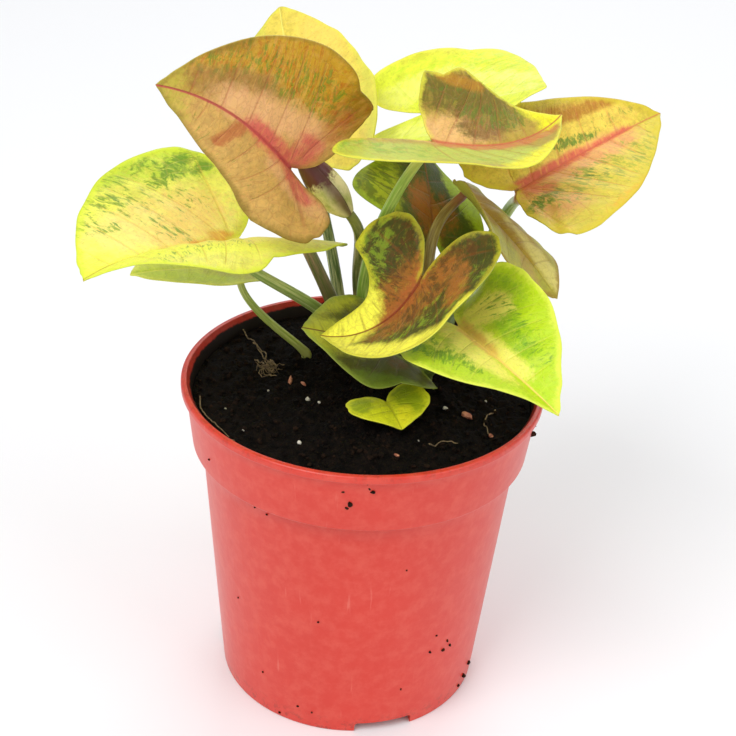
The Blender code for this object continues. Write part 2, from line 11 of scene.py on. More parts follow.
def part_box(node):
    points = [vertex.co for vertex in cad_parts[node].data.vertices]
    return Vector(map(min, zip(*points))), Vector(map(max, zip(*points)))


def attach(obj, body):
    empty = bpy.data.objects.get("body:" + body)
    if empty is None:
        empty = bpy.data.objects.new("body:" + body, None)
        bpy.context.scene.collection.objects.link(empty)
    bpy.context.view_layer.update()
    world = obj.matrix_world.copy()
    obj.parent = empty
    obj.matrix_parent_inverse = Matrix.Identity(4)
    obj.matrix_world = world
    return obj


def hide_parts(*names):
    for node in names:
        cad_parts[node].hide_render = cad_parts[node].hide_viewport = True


MM = 0.001
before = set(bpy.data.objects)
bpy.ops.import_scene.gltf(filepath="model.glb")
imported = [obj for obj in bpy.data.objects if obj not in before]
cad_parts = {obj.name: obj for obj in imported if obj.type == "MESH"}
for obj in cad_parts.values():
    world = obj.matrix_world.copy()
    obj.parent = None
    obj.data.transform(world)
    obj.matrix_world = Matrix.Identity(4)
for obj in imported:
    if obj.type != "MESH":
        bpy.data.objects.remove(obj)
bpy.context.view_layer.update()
POT_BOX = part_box("pot")
AXIS = np.array([(POT_BOX[0].x + POT_BOX[1].x) / 2, (POT_BOX[0].y + POT_BOX[1].y) / 2, 0.0]) / MM

# Pot
POT_HEIGHT = 57.0
RIM_RADIUS = 30.0
RIM_WIDTH = 1.0
LIP_HEIGHT = 1.2
LIP_FOOT = POT_HEIGHT - LIP_HEIGHT
COLLAR_TOP_RADIUS = 29.2
COLLAR_FOOT_RADIUS = 28.1
COLLAR_HEIGHT = 11.2
COLLAR_FOOT = POT_HEIGHT - COLLAR_HEIGHT
BODY_TOP_RADIUS = 26.5
BODY_FOOT_RADIUS = 22.5
POT_WALL = 0.8
EDGE_ROUND = 0.3
COLLAR_ROUND = 0.35
LIP_ROUND = 0.3
RIM_ROUND = 0.45
RIM_INNER_ROUND = 0.2
STEP_TOP = COLLAR_FOOT + POT_WALL + EDGE_ROUND
FLOOR_UNDERSIDE = 2.2
FLOOR_THICKNESS = 1.0
FLOOR_TOP = FLOOR_UNDERSIDE + FLOOR_THICKNESS
FOOT_RING_WIDTH = 1.0
FOOT_SLOTS = 3
FOOT_SLOT_WIDTH = 10.0
FOOT_SLOT_HEIGHT = 1.9
FRONT_SLOT_ANGLE = -72.0
DRAIN_HOLES = 6
DRAIN_HOLE_RADIUS = 3.0
DRAIN_RING_RADIUS = 13.0
POT_SIDES = 192
POT_COLOUR = (216, 56, 40)

# Peat
PEAT_TOP = 54.5
PEAT_CROWN = 0.7
PEAT_RIPPLE = 0.3
PEAT_EDGE = PEAT_TOP - 0.6
PEAT_WALL_GAP = 0.1
# How far the peat's surface lies below its solid's before clods are added.
PEAT_SINK = 0.35
PEAT_RING_STEP = 0.36
PEAT_SPOKES = 360
CRUMBS = 1500
CRUMB_SPREAD = 28.0

# Leaves
BLADE_MIDDLE = 0.34
BLADE_MARGIN = 0.2
RAYS_PER_POINT = 8
RINGS = 24
LOBE_SPAN = 0.345
WIDEST_AT = 0.15
HUB_AT = 0.15
MARGIN_WAVES = 2.5
RIGHT_WAVE_SHIFT = 1.1
MIDRIB_STEPS = 12
NORMAL_STEP = 0.8
# Heights of relief are for a leaf of the usual length, and grow and shrink with it.
USUAL_LENGTH = 25.0
TEETH_HEIGHT = 0.22
TEETH_WAVES = 22.0
RIPPLE_HEIGHT = 0.45
RIPPLE_WAVES = 9.0
PUFF_HEIGHT = 0.11
MIDRIB_WIDTH = 0.55
MIDRIB_GROOVE = 0.16
MIDRIB_RIDGE = 0.45
# Side veins: how far toward the tip they sweep, as a share of the leaf's length, and how their sweep
# grows outward; the veins of one lobe; the shift between the two halves; the narrowing by their slant.
USUAL_VEINS = 5
VEIN_SWEEP = 0.42
VEIN_BEND = 1.25
VEIN_SWEEP_LIMIT = 0.85
LOBE_VEINS = 2.3
VEIN_OFFSET = 0.4
VEIN_SLANT = 0.85
HEART_HALF = (
    (1.00, 0.00), (0.96, 0.10), (0.86, 0.31), (0.66, 0.66), (0.42, 0.91), (0.15, 1.00), (-0.10, 0.95),
    (-0.25, 0.80), (-0.34, 0.60), (-0.345, 0.42), (-0.27, 0.22), (-0.12, 0.07), (0.0, 0.0),
)

# Petioles
HOLE_DEPTH = 6.0
COLLAR_ABOVE_PEAT = 1.0
FIT_GAP = 0.3
# Thickness of the solid blades. The fine ones are thinner, so the fine petioles reach further up.
CAD_BLADE = 0.7
PETIOLE_STEPS = 48
PETIOLE_FOOT_STEPS = 6
PETIOLE_GROOVE = 0.16
PETIOLE_END_BELOW_BLADE = 0.15
PETIOLE_SIDES = 20

# New leaf, still rolled
ROLL_BASE = (-3.7, 4.0, 84.5)
ROLL_AXIS = (-0.60, -0.10, 0.79)
ROLL_LENGTH = 12.5
ROLL_RADIUS = 3.2
ROLL_FOOT_SHARE = 0.35
ROLL_TIP_SHARE = 0.4
ROLL_WIDEST_AT = 0.4
ROLL_ROWS = 40
ROLL_COLUMNS = 96
ROLL_TURNS = 1.7
ROLL_SHEET = 0.22
# Foot, radii at foot and top, lean, rise and reach, as for a leaf.
ROLL_PETIOLE = ((0.4, 17.0), (1.2, 0.85), (-0.3, 0.0), 15.5, 6.5)


@dataclass
class Leaf:
    """One heart-shaped leaf, placed and bent as its solid is. Heading, pitch and roll turn it about its
    sinus. Half width, lobe, fold, fold change, cupping and fullness are pairs for its left and its right,
    looking at the upper face from the sinus to the tip. Lobe is how far each lobe reaches behind the
    sinus. Foot and lean are (x, y), and the petiole's radius is given at its foot and at its top."""
    name: str
    sinus: tuple
    heading: float
    pitch: float
    roll: float
    length: float
    half_width: tuple
    lobe: tuple
    fold: tuple
    foot: tuple
    petiole_radius: tuple
    lean: tuple
    rise: float
    reach: float
    arrival: tuple
    lobe_droop: float = 0.0
    curl: float = 0.0
    tip_lift: float = 0.0
    fold_change: tuple = (0.0, 0.0)
    cupping: tuple = (0.0, 0.0)
    fullness: tuple = (0.1, 0.1)
    wave: float = 0.35


LEAVES = (
    Leaf("upper_left", sinus=(-13.0, -3.5, 95.0), heading=233, pitch=47, roll=-30, length=31.5,
         half_width=(11.5, 16.0), lobe=(9.0, 6.5), fold=(-30, 75), curl=6, tip_lift=-27, lobe_droop=-30,
         fold_change=(-38, -2), cupping=(-24, 34), fullness=(-0.2, 0.2), foot=(-2.3, 13.0),
         petiole_radius=(1.2, 0.75), lean=(-0.4, -0.1), rise=31.5, reach=10.5, arrival=(0.5, -0.78, 0.38)),
    Leaf("top_back_left", sinus=(-13.0, 20.5, 92.0), heading=105, pitch=33, roll=-29, length=26.5,
         half_width=(14.5, 14.5), lobe=(10.5, 10.5), fold=(4, 8), curl=9, tip_lift=5, lobe_droop=8,
         fold_change=(-10, -1), cupping=(-2, -5), fullness=(0.1, -0.09), foot=(-4.2, 16.8),
         petiole_radius=(1.2, 0.75), lean=(0.0, 0.1), rise=5.6, reach=11.9, arrival=(-0.3, -0.3, 0.91)),
    Leaf("left", sinus=(-22.0, 0.0, 80.0), heading=225, pitch=13, roll=23, length=29.5,
         half_width=(15.0, 20.0), lobe=(17.0, 7.5), fold=(13, 52), tip_lift=-24, lobe_droop=4,
         fold_change=(1, -26), cupping=(-48, 3), fullness=(0.34, 0.03), foot=(-2.0, 9.5),
         petiole_radius=(1.2, 0.75), lean=(-0.1, -0.1), rise=10.4, reach=5.7, arrival=(-0.45, 0.07, 0.89)),
    Leaf("left_lower", sinus=(-21.5, 11.5, 69.5), heading=210, pitch=17, roll=-1, length=20.0,
         half_width=(8.5, 11.0), lobe=(4.5, 6.5), fold=(12, 12), curl=18, tip_lift=2, lobe_droop=5,
         fold_change=(-9, 0), cupping=(2, 0), fullness=(0.13, 0.12), foot=(-9.9, 9.3),
         petiole_radius=(0.75, 0.6), lean=(-0.5, -0.1), rise=2.5, reach=5.5, arrival=(0.03, 0.27, 0.96)),
    Leaf("top_back_right", sinus=(8.0, 26.0, 94.0), heading=329, pitch=26, roll=23, length=23.5,
         half_width=(15.0, 13.5), lobe=(13.0, 9.5), fold=(14, 8), curl=7, tip_lift=5, fold_change=(-36, 3),
         cupping=(-10, 2), fullness=(0.2, 0.11), foot=(3.1, 19.1), petiole_radius=(1.2, 0.75),
         lean=(-0.1, 0.2), rise=25.2, reach=6.3, arrival=(0.1, -0.44, 0.89)),
    Leaf("top_front", sinus=(8.5, -1.0, 99.5), heading=15, pitch=-11, roll=-19, length=22.5,
         half_width=(13.5, 12.5), lobe=(1.5, 17.0), fold=(46, -11), curl=-4, tip_lift=52, lobe_droop=3,
         fold_change=(-11, 9), cupping=(16, -6), fullness=(0.28, 0.16), foot=(2.4, 11.9),
         petiole_radius=(1.2, 0.75), lean=(-0.8, -0.1), rise=9.7, reach=12.5, arrival=(0.48, -0.42, 0.77)),
    Leaf("right", sinus=(23.5, 12.0, 87.0), heading=29, pitch=22, roll=1, length=28.5,
         half_width=(15.5, 17.0), lobe=(5.0, 3.0), fold=(23, 8), curl=1, tip_lift=-5, lobe_droop=5,
         fold_change=(9, -9), cupping=(-6, -21), fullness=(-0.01, -0.06), foot=(11.8, 13.8),
         petiole_radius=(1.2, 0.75), lean=(0.6, 1.0), rise=27.0, reach=9.5, arrival=(0.02, -0.64, 0.77)),
    Leaf("right_drooping", sinus=(15.0, 13.0, 85.5), heading=333, pitch=-31, roll=-25, length=23.0,
         half_width=(11.5, 11.5), lobe=(2.0, 2.0), fold=(20, 3), curl=15, tip_lift=3, lobe_droop=10,
         fold_change=(18, -27), cupping=(-49, 15), fullness=(0.62, 0.13), foot=(11.0, 10.8),
         petiole_radius=(1.2, 0.75), lean=(-0.1, -0.6), rise=27.8, reach=7.6, arrival=(0.74, 0.3, 0.6)),
    Leaf("centre", sinus=(8.0, -8.0, 79.5), heading=213, pitch=-62, roll=45, length=19.5,
         half_width=(15.5, 15.0), lobe=(13.0, 7.0), fold=(-34, 50), curl=-51, tip_lift=24, lobe_droop=5,
         fold_change=(31, -17), cupping=(10, 12), fullness=(0.02, -0.43), foot=(5.9, 8.6),
         petiole_radius=(1.2, 0.75), lean=(0.1, 0.5), rise=16.8, reach=13.0, arrival=(-0.62, -0.67, 0.41)),
    Leaf("lower_right", sinus=(14.5, -8.5, 72.0), heading=296, pitch=6, roll=39, length=24.5,
         half_width=(13.0, 12.5), lobe=(8.5, 9.0), fold=(1, 37), curl=40, lobe_droop=34,
         fold_change=(4, 36), cupping=(9, -11), fullness=(0.01, 0.18), foot=(10.2, 3.6),
         petiole_radius=(1.2, 0.75), lean=(0.1, -0.3), rise=3.2, reach=4.1, arrival=(-0.2, 0.2, 0.95)),
    Leaf("under_centre", sinus=(4.5, -1.0, 62.5), heading=205, pitch=31, roll=-10, length=17.5,
         half_width=(10.0, 10.0), lobe=(7.0, 7.0), fold=(8, 12), curl=17, tip_lift=4, lobe_droop=12,
         fold_change=(-16, 0), cupping=(-6, 0), fullness=(0.29, 0.12), foot=(4.3, 3.2),
         petiole_radius=(0.9, 0.6), lean=(0.0, -0.2), rise=1.4, reach=1.3, arrival=(0.36, -0.36, 0.86)),
    Leaf("behind_centre", sinus=(10.0, 13.5, 78.0), heading=98, pitch=55, roll=25, length=16.5,
         half_width=(11.0, 11.0), lobe=(5.0, 6.0), fold=(20, -2), curl=25, tip_lift=2, lobe_droop=10,
         fold_change=(-26, -31), cupping=(-15, 2), fullness=(0.55, 0.07), foot=(5.7, 12.6),
         petiole_radius=(1.1, 0.7), lean=(0.1, 0.1), rise=19.8, reach=1.5, arrival=(0.53, -0.46, 0.71)),
    Leaf("small_heart", sinus=(4.0, -8.5, 57.5), heading=292, pitch=0, roll=3, length=7.0,
         half_width=(6.5, 7.0), lobe=(2.5, 2.5), fold=(13, 8), curl=18, lobe_droop=9, fold_change=(-12, 11),
         cupping=(3, -5), wave=0.0, fullness=(0.1, 0.11), foot=(4.1, -8.0), petiole_radius=(0.55, 0.5),
         lean=(0.0, -0.1), rise=0.6, reach=0.6, arrival=(-0.05, -0.2, 0.97)),
)


# Small helpers

def linear(colour):
    """A colour given as it looks on a screen, 0 to 255, as the shader takes it."""
    parts = []
    for value in colour:
        part = value / 255
        parts.append(part / 12.92 if part <= 0.04045 else ((part + 0.055) / 1.055) ** 2.4)
    return tuple(parts)


def soft_step(low, high, value):
    """0 below low, 1 above high, smooth between."""
    share = np.clip((value - low) / (high - low), 0.0, 1.0)
    return share * share * (3.0 - 2.0 * share)


def add_piece(name, vertices, faces, material, replaced=(), smooth=True):
    """Build a mesh piece from millimetre points about the pot's axis, and let it ride on the part."""
    mesh = bpy.data.meshes.new(name)
    places = (np.asarray(vertices, float) + AXIS) * MM
    mesh.from_pydata(places.tolist(), [], [tuple(face) for face in faces])
    mesh.update()
    if smooth:
        mesh.shade_smooth()
    mesh.materials.append(material)
    piece = bpy.data.objects.new(name, mesh)
    bpy.context.scene.collection.objects.link(piece)
    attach(piece, "root")
    if replaced:
        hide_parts(*replaced)
    return piece


def add_values(mesh, name, values):
    """Keep one number, or three, for each vertex, for the material to read."""
    values = np.asarray(values, np.float32)
    if values.ndim == 1:
        mesh.attributes.new(name, "FLOAT", "POINT").data.foreach_set("value", values)
    else:
        mesh.attributes.new(name, "FLOAT_VECTOR", "POINT").data.foreach_set("vector", values.ravel())


def add_to_both_faces(mesh, **rows):
    """Keep numbers for a sheet whose second half of vertices is its other face."""
    for name, values in rows.items():
        add_values(mesh, name, np.concatenate([values, values]))


class Paint:
    """A material whose nodes are made by short calls. Each call gives back an output socket."""

    def __init__(self, name, roughness, **fixed):
        self.material = bpy.data.materials.new(name)
        self.material.use_nodes = True
        self.nodes = self.material.node_tree.nodes
        self.links = self.material.node_tree.links
        self.shader = self.nodes["Principled BSDF"]
        self.fill(self.shader, Roughness=roughness, **fixed)

    def feed(self, socket, value):
        """Link a socket to an output, or set it to a number or colour."""
        if isinstance(value, bpy.types.NodeSocket):
            self.links.new(value, socket)
        elif isinstance(value, tuple) and len(value) == 3 and len(socket.default_value) == 4:
            socket.default_value = (*value, 1.0)
        else:
            socket.default_value = value

    def fill(self, node, **inputs):
        """Feed a node's inputs. An underscore stands for a space in their names."""
        for name, value in inputs.items():
            self.feed(node.inputs[name.replace("_", " ")], value)
        return node

    def node(self, kind, **inputs):
        """A new node with its inputs fed."""
        return self.fill(self.nodes.new("ShaderNode" + kind), **inputs)

    def values(self, name, output="Fac"):
        """A number kept on the mesh, or three of them from the output Vector."""
        node = self.node("Attribute")
        node.attribute_name = name
        return node.outputs[output]

    def place(self):
        """Position on the part, in metres."""
        return self.node("TexCoord").outputs["Object"]

    def scaled(self, vector, size, shift=(0.0, 0.0, 0.0)):
        """A vector stretched and shifted."""
        return self.node("Mapping", Vector=vector, Scale=size, Location=shift).outputs["Vector"]

    def clouds(self, vector, scale, detail=3.0, roughness=0.55, distortion=0.0):
        """Soft noise, 0 to 1."""
        return self.node("TexNoise", Vector=vector, Scale=scale, Detail=detail, Roughness=roughness,
                         Distortion=distortion).outputs["Fac"]

    def from_cell_edge(self, vector):
        """Distance from the edges in a field of random cells."""
        node = self.node("TexVoronoi", Vector=vector, Scale=1.0)
        node.feature = "DISTANCE_TO_EDGE"
        return node.outputs["Distance"]

    def calc(self, kind, first, second=0.0, third=0.0):
        """One step of arithmetic."""
        node = self.node("Math")
        node.operation = kind
        for socket, value in zip(node.inputs, (first, second, third)):
            self.feed(socket, value)
        return node.outputs[0]

    def step(self, value, low, high, bottom=0.0, top=1.0):
        """Smooth step from bottom to top between two values."""
        node = self.node("MapRange", Value=value, From_Min=low, From_Max=high, To_Min=bottom, To_Max=top)
        node.interpolation_type = "SMOOTHSTEP"
        return node.outputs["Result"]

    def blend(self, share, first, second, kind="MIX"):
        """Mix two colours."""
        node = self.node("Mix")
        node.data_type = "RGBA"
        node.blend_type = kind
        for place, value in ((0, share), (6, first), (7, second)):
            self.feed(node.inputs[place], value)
        return node.outputs[2]

    def relief(self, height, distance):
        """Bump from a height, with its depth in metres."""
        node = self.node("Bump", Strength=1.0, Distance=distance, Height=height)
        self.links.new(node.outputs["Normal"], self.shader.inputs["Normal"])

    def finish(self, colour, roughness=None):
        """Give the shader its colour and, where it varies, its roughness."""
        self.feed(self.shader.inputs["Base Color"], colour)
        if roughness is not None:
            self.feed(self.shader.inputs["Roughness"], roughness)
        return self.material


# Leaf shape

def leaf_frame(leaf):
    """Directions at the sinus: along the midrib, to the left, and out of the upper face."""
    heading, pitch, roll = (math.radians(value) for value in (leaf.heading, leaf.pitch, leaf.roll))
    level = np.array([math.cos(heading), math.sin(heading), 0.0])
    along = level * math.cos(pitch) + np.array([0.0, 0.0, math.sin(pitch)])
    level_left = np.array([-math.sin(heading), math.cos(heading), 0.0])
    level_up = np.cross(along, level_left)
    left = level_left * math.cos(roll) + level_up * math.sin(roll)
    up = level_up * math.cos(roll) - level_left * math.sin(roll)
    return along, left, up


def by_side(across, pair):
    """The left or the right value of a pair, as each point lies left or right of the midrib."""
    return np.where(across < 0.0, pair[1], pair[0])


def blade_points(leaf, distance, across):
    """Places of points of the flat heart after the blade is folded, cupped and curled."""
    distance, across = np.broadcast_arrays(np.asarray(distance, float), np.asarray(across, float))
    along, left, up = leaf_frame(leaf)
    ahead = np.maximum(distance, 0.0)
    behind = np.minimum(distance, 0.0)
    shares = ahead[..., None] / leaf.length * (np.arange(MIDRIB_STEPS) + 0.5) / MIDRIB_STEPS
    slopes = np.radians(leaf.tip_lift * shares ** 2 - leaf.curl * shares)
    back_slope = np.radians(leaf.lobe_droop) * -behind / (LOBE_SPAN * leaf.length)
    forward = ahead * np.cos(slopes).mean(-1) + behind * np.cos(back_slope / 2)
    height = ahead * np.sin(slopes).mean(-1) + behind * np.sin(back_slope / 2)
    share = ahead / leaf.length
    slope = np.radians(leaf.tip_lift * share ** 2 - leaf.curl * share) + back_slope
    fold = np.radians(by_side(across, leaf.fold) + by_side(across, leaf.fold_change) * distance / leaf.length)
    width = by_side(across, leaf.half_width)
    half_turn = np.radians(by_side(across, leaf.cupping)) * np.abs(across) / width / 2
    chord = np.abs(across) * np.sinc(half_turn / math.pi)
    outward = chord * np.cos(fold + half_turn) * by_side(across, (1.0, -1.0))
    lifted = chord * np.sin(fold + half_turn)
    forward = forward - lifted * np.sin(slope)
    height = height + lifted * np.cos(slope)
    return (np.array(leaf.sinus) + forward[..., None] * along + height[..., None] * up
            + outward[..., None] * left)


def blade_normals(leaf, distance, across, step=NORMAL_STEP):
    """Unit normals out of the upper face."""
    forward = blade_points(leaf, distance + step, across) - blade_points(leaf, distance - step, across)
    sideways = blade_points(leaf, distance, across + step) - blade_points(leaf, distance, across - step)
    normals = np.cross(forward, sideways)
    return normals / np.linalg.norm(normals, axis=-1, keepdims=True)


def smooth_outline(points, steps):
    """Points on a smooth curve through the given ones, without its last point."""
    row = [2 * points[0] - points[1], *points, 2 * points[-1] - points[-2]]
    curve = []
    for before, start, end, beyond in zip(row, row[1:], row[2:], row[3:]):
        for step in range(steps):
            share = step / steps
            bend = (2 * before - 5 * start + 4 * end - beyond) * share ** 2
            swing = (3 * start - before - 3 * end + beyond) * share ** 3
            curve.append(start + ((end - before) * share + bend + swing) / 2)
    return curve


def heart_side(leaf, side):
    """Flat outline of one half, from the tip to near the sinus, as (distance, across)."""
    points = []
    for share, width in smooth_outline([np.array(point) for point in HEART_HALF], RAYS_PER_POINT):
        distance = share * leaf.length if share > 0 else share / LOBE_SPAN * leaf.lobe[side]
        shoulder = min(1.0, max(0.0, (share - WIDEST_AT) / (1.0 - WIDEST_AT)))
        full = 1.0 + leaf.fullness[side] * 4.0 * shoulder * (1.0 - shoulder)
        across = width * full * leaf.half_width[side]
        points.append((distance, across if side == 0 else -across))
    return points


def wavy(share, seed, waves):
    """A smooth uneven wave along the margin, about -1 to 1."""
    return np.array([noise.noise(Vector((value * waves, seed * 7.3, 0.5))) * 1.8 for value in share])


def vein_lines(leaf, distance, across, veins):
    """For each point: which side vein it lies by, as a number that is whole and a half on a vein,
    the millimetres from one vein to the next there, and the way along the vein."""
    out = np.abs(across)
    sweep = VEIN_SWEEP * (out / by_side(across, leaf.half_width)) ** VEIN_BEND
    sweep = np.clip(sweep, 0.0, VEIN_SWEEP_LIMIT)
    leaves_at = (distance / leaf.length - sweep) / (1.0 - sweep)
    turn = np.arctan2(out, distance - sweep * leaf.length)
    lobe_number = -(turn / (math.pi / 2) - 1.0) * LOBE_VEINS
    number = np.where(leaves_at >= 0.0, veins * leaves_at, lobe_number)
    number = number + by_side(across, (0.0, VEIN_OFFSET))
    from_sinus = np.hypot(distance, across)
    gap = np.where(leaves_at >= 0.0, leaf.length / veins * VEIN_SLANT, 0.68 * from_sinus + 0.1)
    return number, gap, np.where(leaves_at >= 0.0, out, from_sinus)


# Leaf looks. Colours are given as they look on a screen, 0 to 255.

UNDERSIDE = (176, 186, 118)
LEAF_ROUGHNESS = 0.42
BACK_SHARE = 0.55
# Multipliers of red, green and blue: for the fine mottling, and for the whole leaf.
MOTTLING_SHADE = (0.35, 0.33, 0.22)
LEAF_TONE = (1.14, 1.16, 0.62)
# Size, detail and roughness of the clouds that fray a wash, how far they move its edge, and its step.
WASH_KINDS = {"soft": (0.6, 5.0, 0.7, 1.4, 0.05, 1.0), "cloud": (0.85, 6.0, 0.78, 2.4, 0.15, 1.05)}


def wash_share(paint, number, kind, flat, grain):
    """Where one wash shows: soft patches, ragged clouds, or flecks that run along the side veins."""
    mask = paint.values("wash%d" % number)
    if kind == "fleck":
        along_veins = paint.scaled(grain, (1.25, 0.5, 1.0), (number * 2.3, number * 1.7, 0.0))
        flecks = paint.clouds(along_veins, 1.0, 5.0, 0.68, 0.6)
        return paint.step(paint.calc("MULTIPLY_ADD", mask, 0.13, flecks), 0.66, 0.8)
    scale, detail, roughness, fray, low, high = WASH_KINDS[kind]
    shifted = paint.scaled(flat, (1.0, 1.0, 1.0), (number * 3.7, number * 5.1, 0.0))
    ragged = paint.calc("SUBTRACT", paint.clouds(shifted, scale, detail, roughness), 0.5)
    return paint.step(paint.calc("MULTIPLY_ADD", ragged, fray, mask), low, high)


def leaf_look(leaf, washes, base, vein, midrib, margin, back=UNDERSIDE, vein_strength=0.3,
              midrib_reach=0.42, midrib_strength=0.85, margin_reach=0.9, margin_strength=0.6):
    """A leaf's material: base colour, washes of other colours, side veins, midrib, margin and back.
    Each wash is (colour, kind, opacity, patches), with the kind soft, cloud or fleck. A patch is a line,
    (along, across, along, across, reach, strength): 1 along is the tip, 1 across the widest margin."""
    base, vein, midrib, margin, back = [linear(colour) for colour in (base, vein, midrib, margin, back)]
    paint = Paint("leaf_" + leaf.name, LEAF_ROUGHNESS, Specular_IOR_Level=0.3, Subsurface_Weight=0.12,
                  Subsurface_Radius=(1.0, 1.0, 0.35), Subsurface_Scale=0.0008)
    flat = paint.values("flat", "Vector")
    grain = paint.values("grain", "Vector")
    marbling = paint.clouds(paint.scaled(flat, (0.5, 0.5, 1.0)), 1.0, 5.0, 0.7)
    streaks = paint.clouds(paint.scaled(grain, (1.7, 0.3, 1.0), (0.0, 0.0, 9.0)), 1.0, 3.0, 0.6, 0.3)
    fine = paint.clouds(flat, 1.7, 5.0, 0.72)
    dark = tuple(part * 0.78 for part in base)
    pale = tuple(min(1.0, part * 1.22 + 0.01) for part in base)
    colour = paint.blend(paint.step(marbling, 0.35, 0.65), dark, base)
    for number, (tint, kind, opacity, *_) in enumerate(washes):
        share = paint.calc("MULTIPLY", wash_share(paint, number, kind, flat, grain), opacity)
        colour = paint.blend(share, colour, linear(tint))
    colour = paint.blend(paint.step(streaks, 0.45, 0.7, 0.0, 0.24), colour, pale)
    colour = paint.blend(paint.step(fine, 0.5, 0.7, 0.0, 0.32), colour, MOTTLING_SHADE, "MULTIPLY")
    off_vein = paint.calc("SUBTRACT", paint.calc("FRACT", paint.values("vein")), 0.5)
    from_vein = paint.calc("MULTIPLY", paint.calc("ABSOLUTE", off_vein), paint.values("gap"))
    side_vein = paint.step(from_vein, 0.04, 0.26, 1.0, 0.0)
    net = paint.step(paint.from_cell_edge(paint.scaled(grain, (0.85, 0.6, 1.0))), 0.0, 0.08, 1.0, 0.0)
    colour = paint.blend(paint.calc("MULTIPLY", net, 0.5 * vein_strength), colour, vein)
    shown = paint.calc("MULTIPLY", side_vein, paint.step(paint.values("edge"), 0.4, 3.5))
    colour = paint.blend(paint.calc("MULTIPLY", shown, vein_strength), colour, vein)
    uneven = paint.calc("SUBTRACT", marbling, 0.5)
    rim = paint.calc("MULTIPLY_ADD", uneven, -2.6 * margin_reach, paint.values("edge"))
    rim = paint.step(rim, 0.1 * margin_reach, margin_reach, margin_strength, 0.0)
    colour = paint.blend(rim, colour, margin)
    rib = paint.step(paint.values("midrib"), 0.4 * midrib_reach, midrib_reach, midrib_strength, 0.0)
    colour = paint.blend(rib, colour, midrib)
    colour = paint.blend(paint.values("under"), colour, paint.blend(BACK_SHARE, colour, back))
    dents = paint.calc("MULTIPLY_ADD", net, -0.2, paint.calc("MULTIPLY", shown, -0.6))
    paint.relief(paint.calc("MULTIPLY_ADD", fine, 0.4, dents), 0.00012)
    colour = paint.blend(1.0, colour, LEAF_TONE, "MULTIPLY")
    return paint.finish(colour, paint.step(marbling, 0.3, 0.7, LEAF_ROUGHNESS - 0.06, LEAF_ROUGHNESS + 0.08))


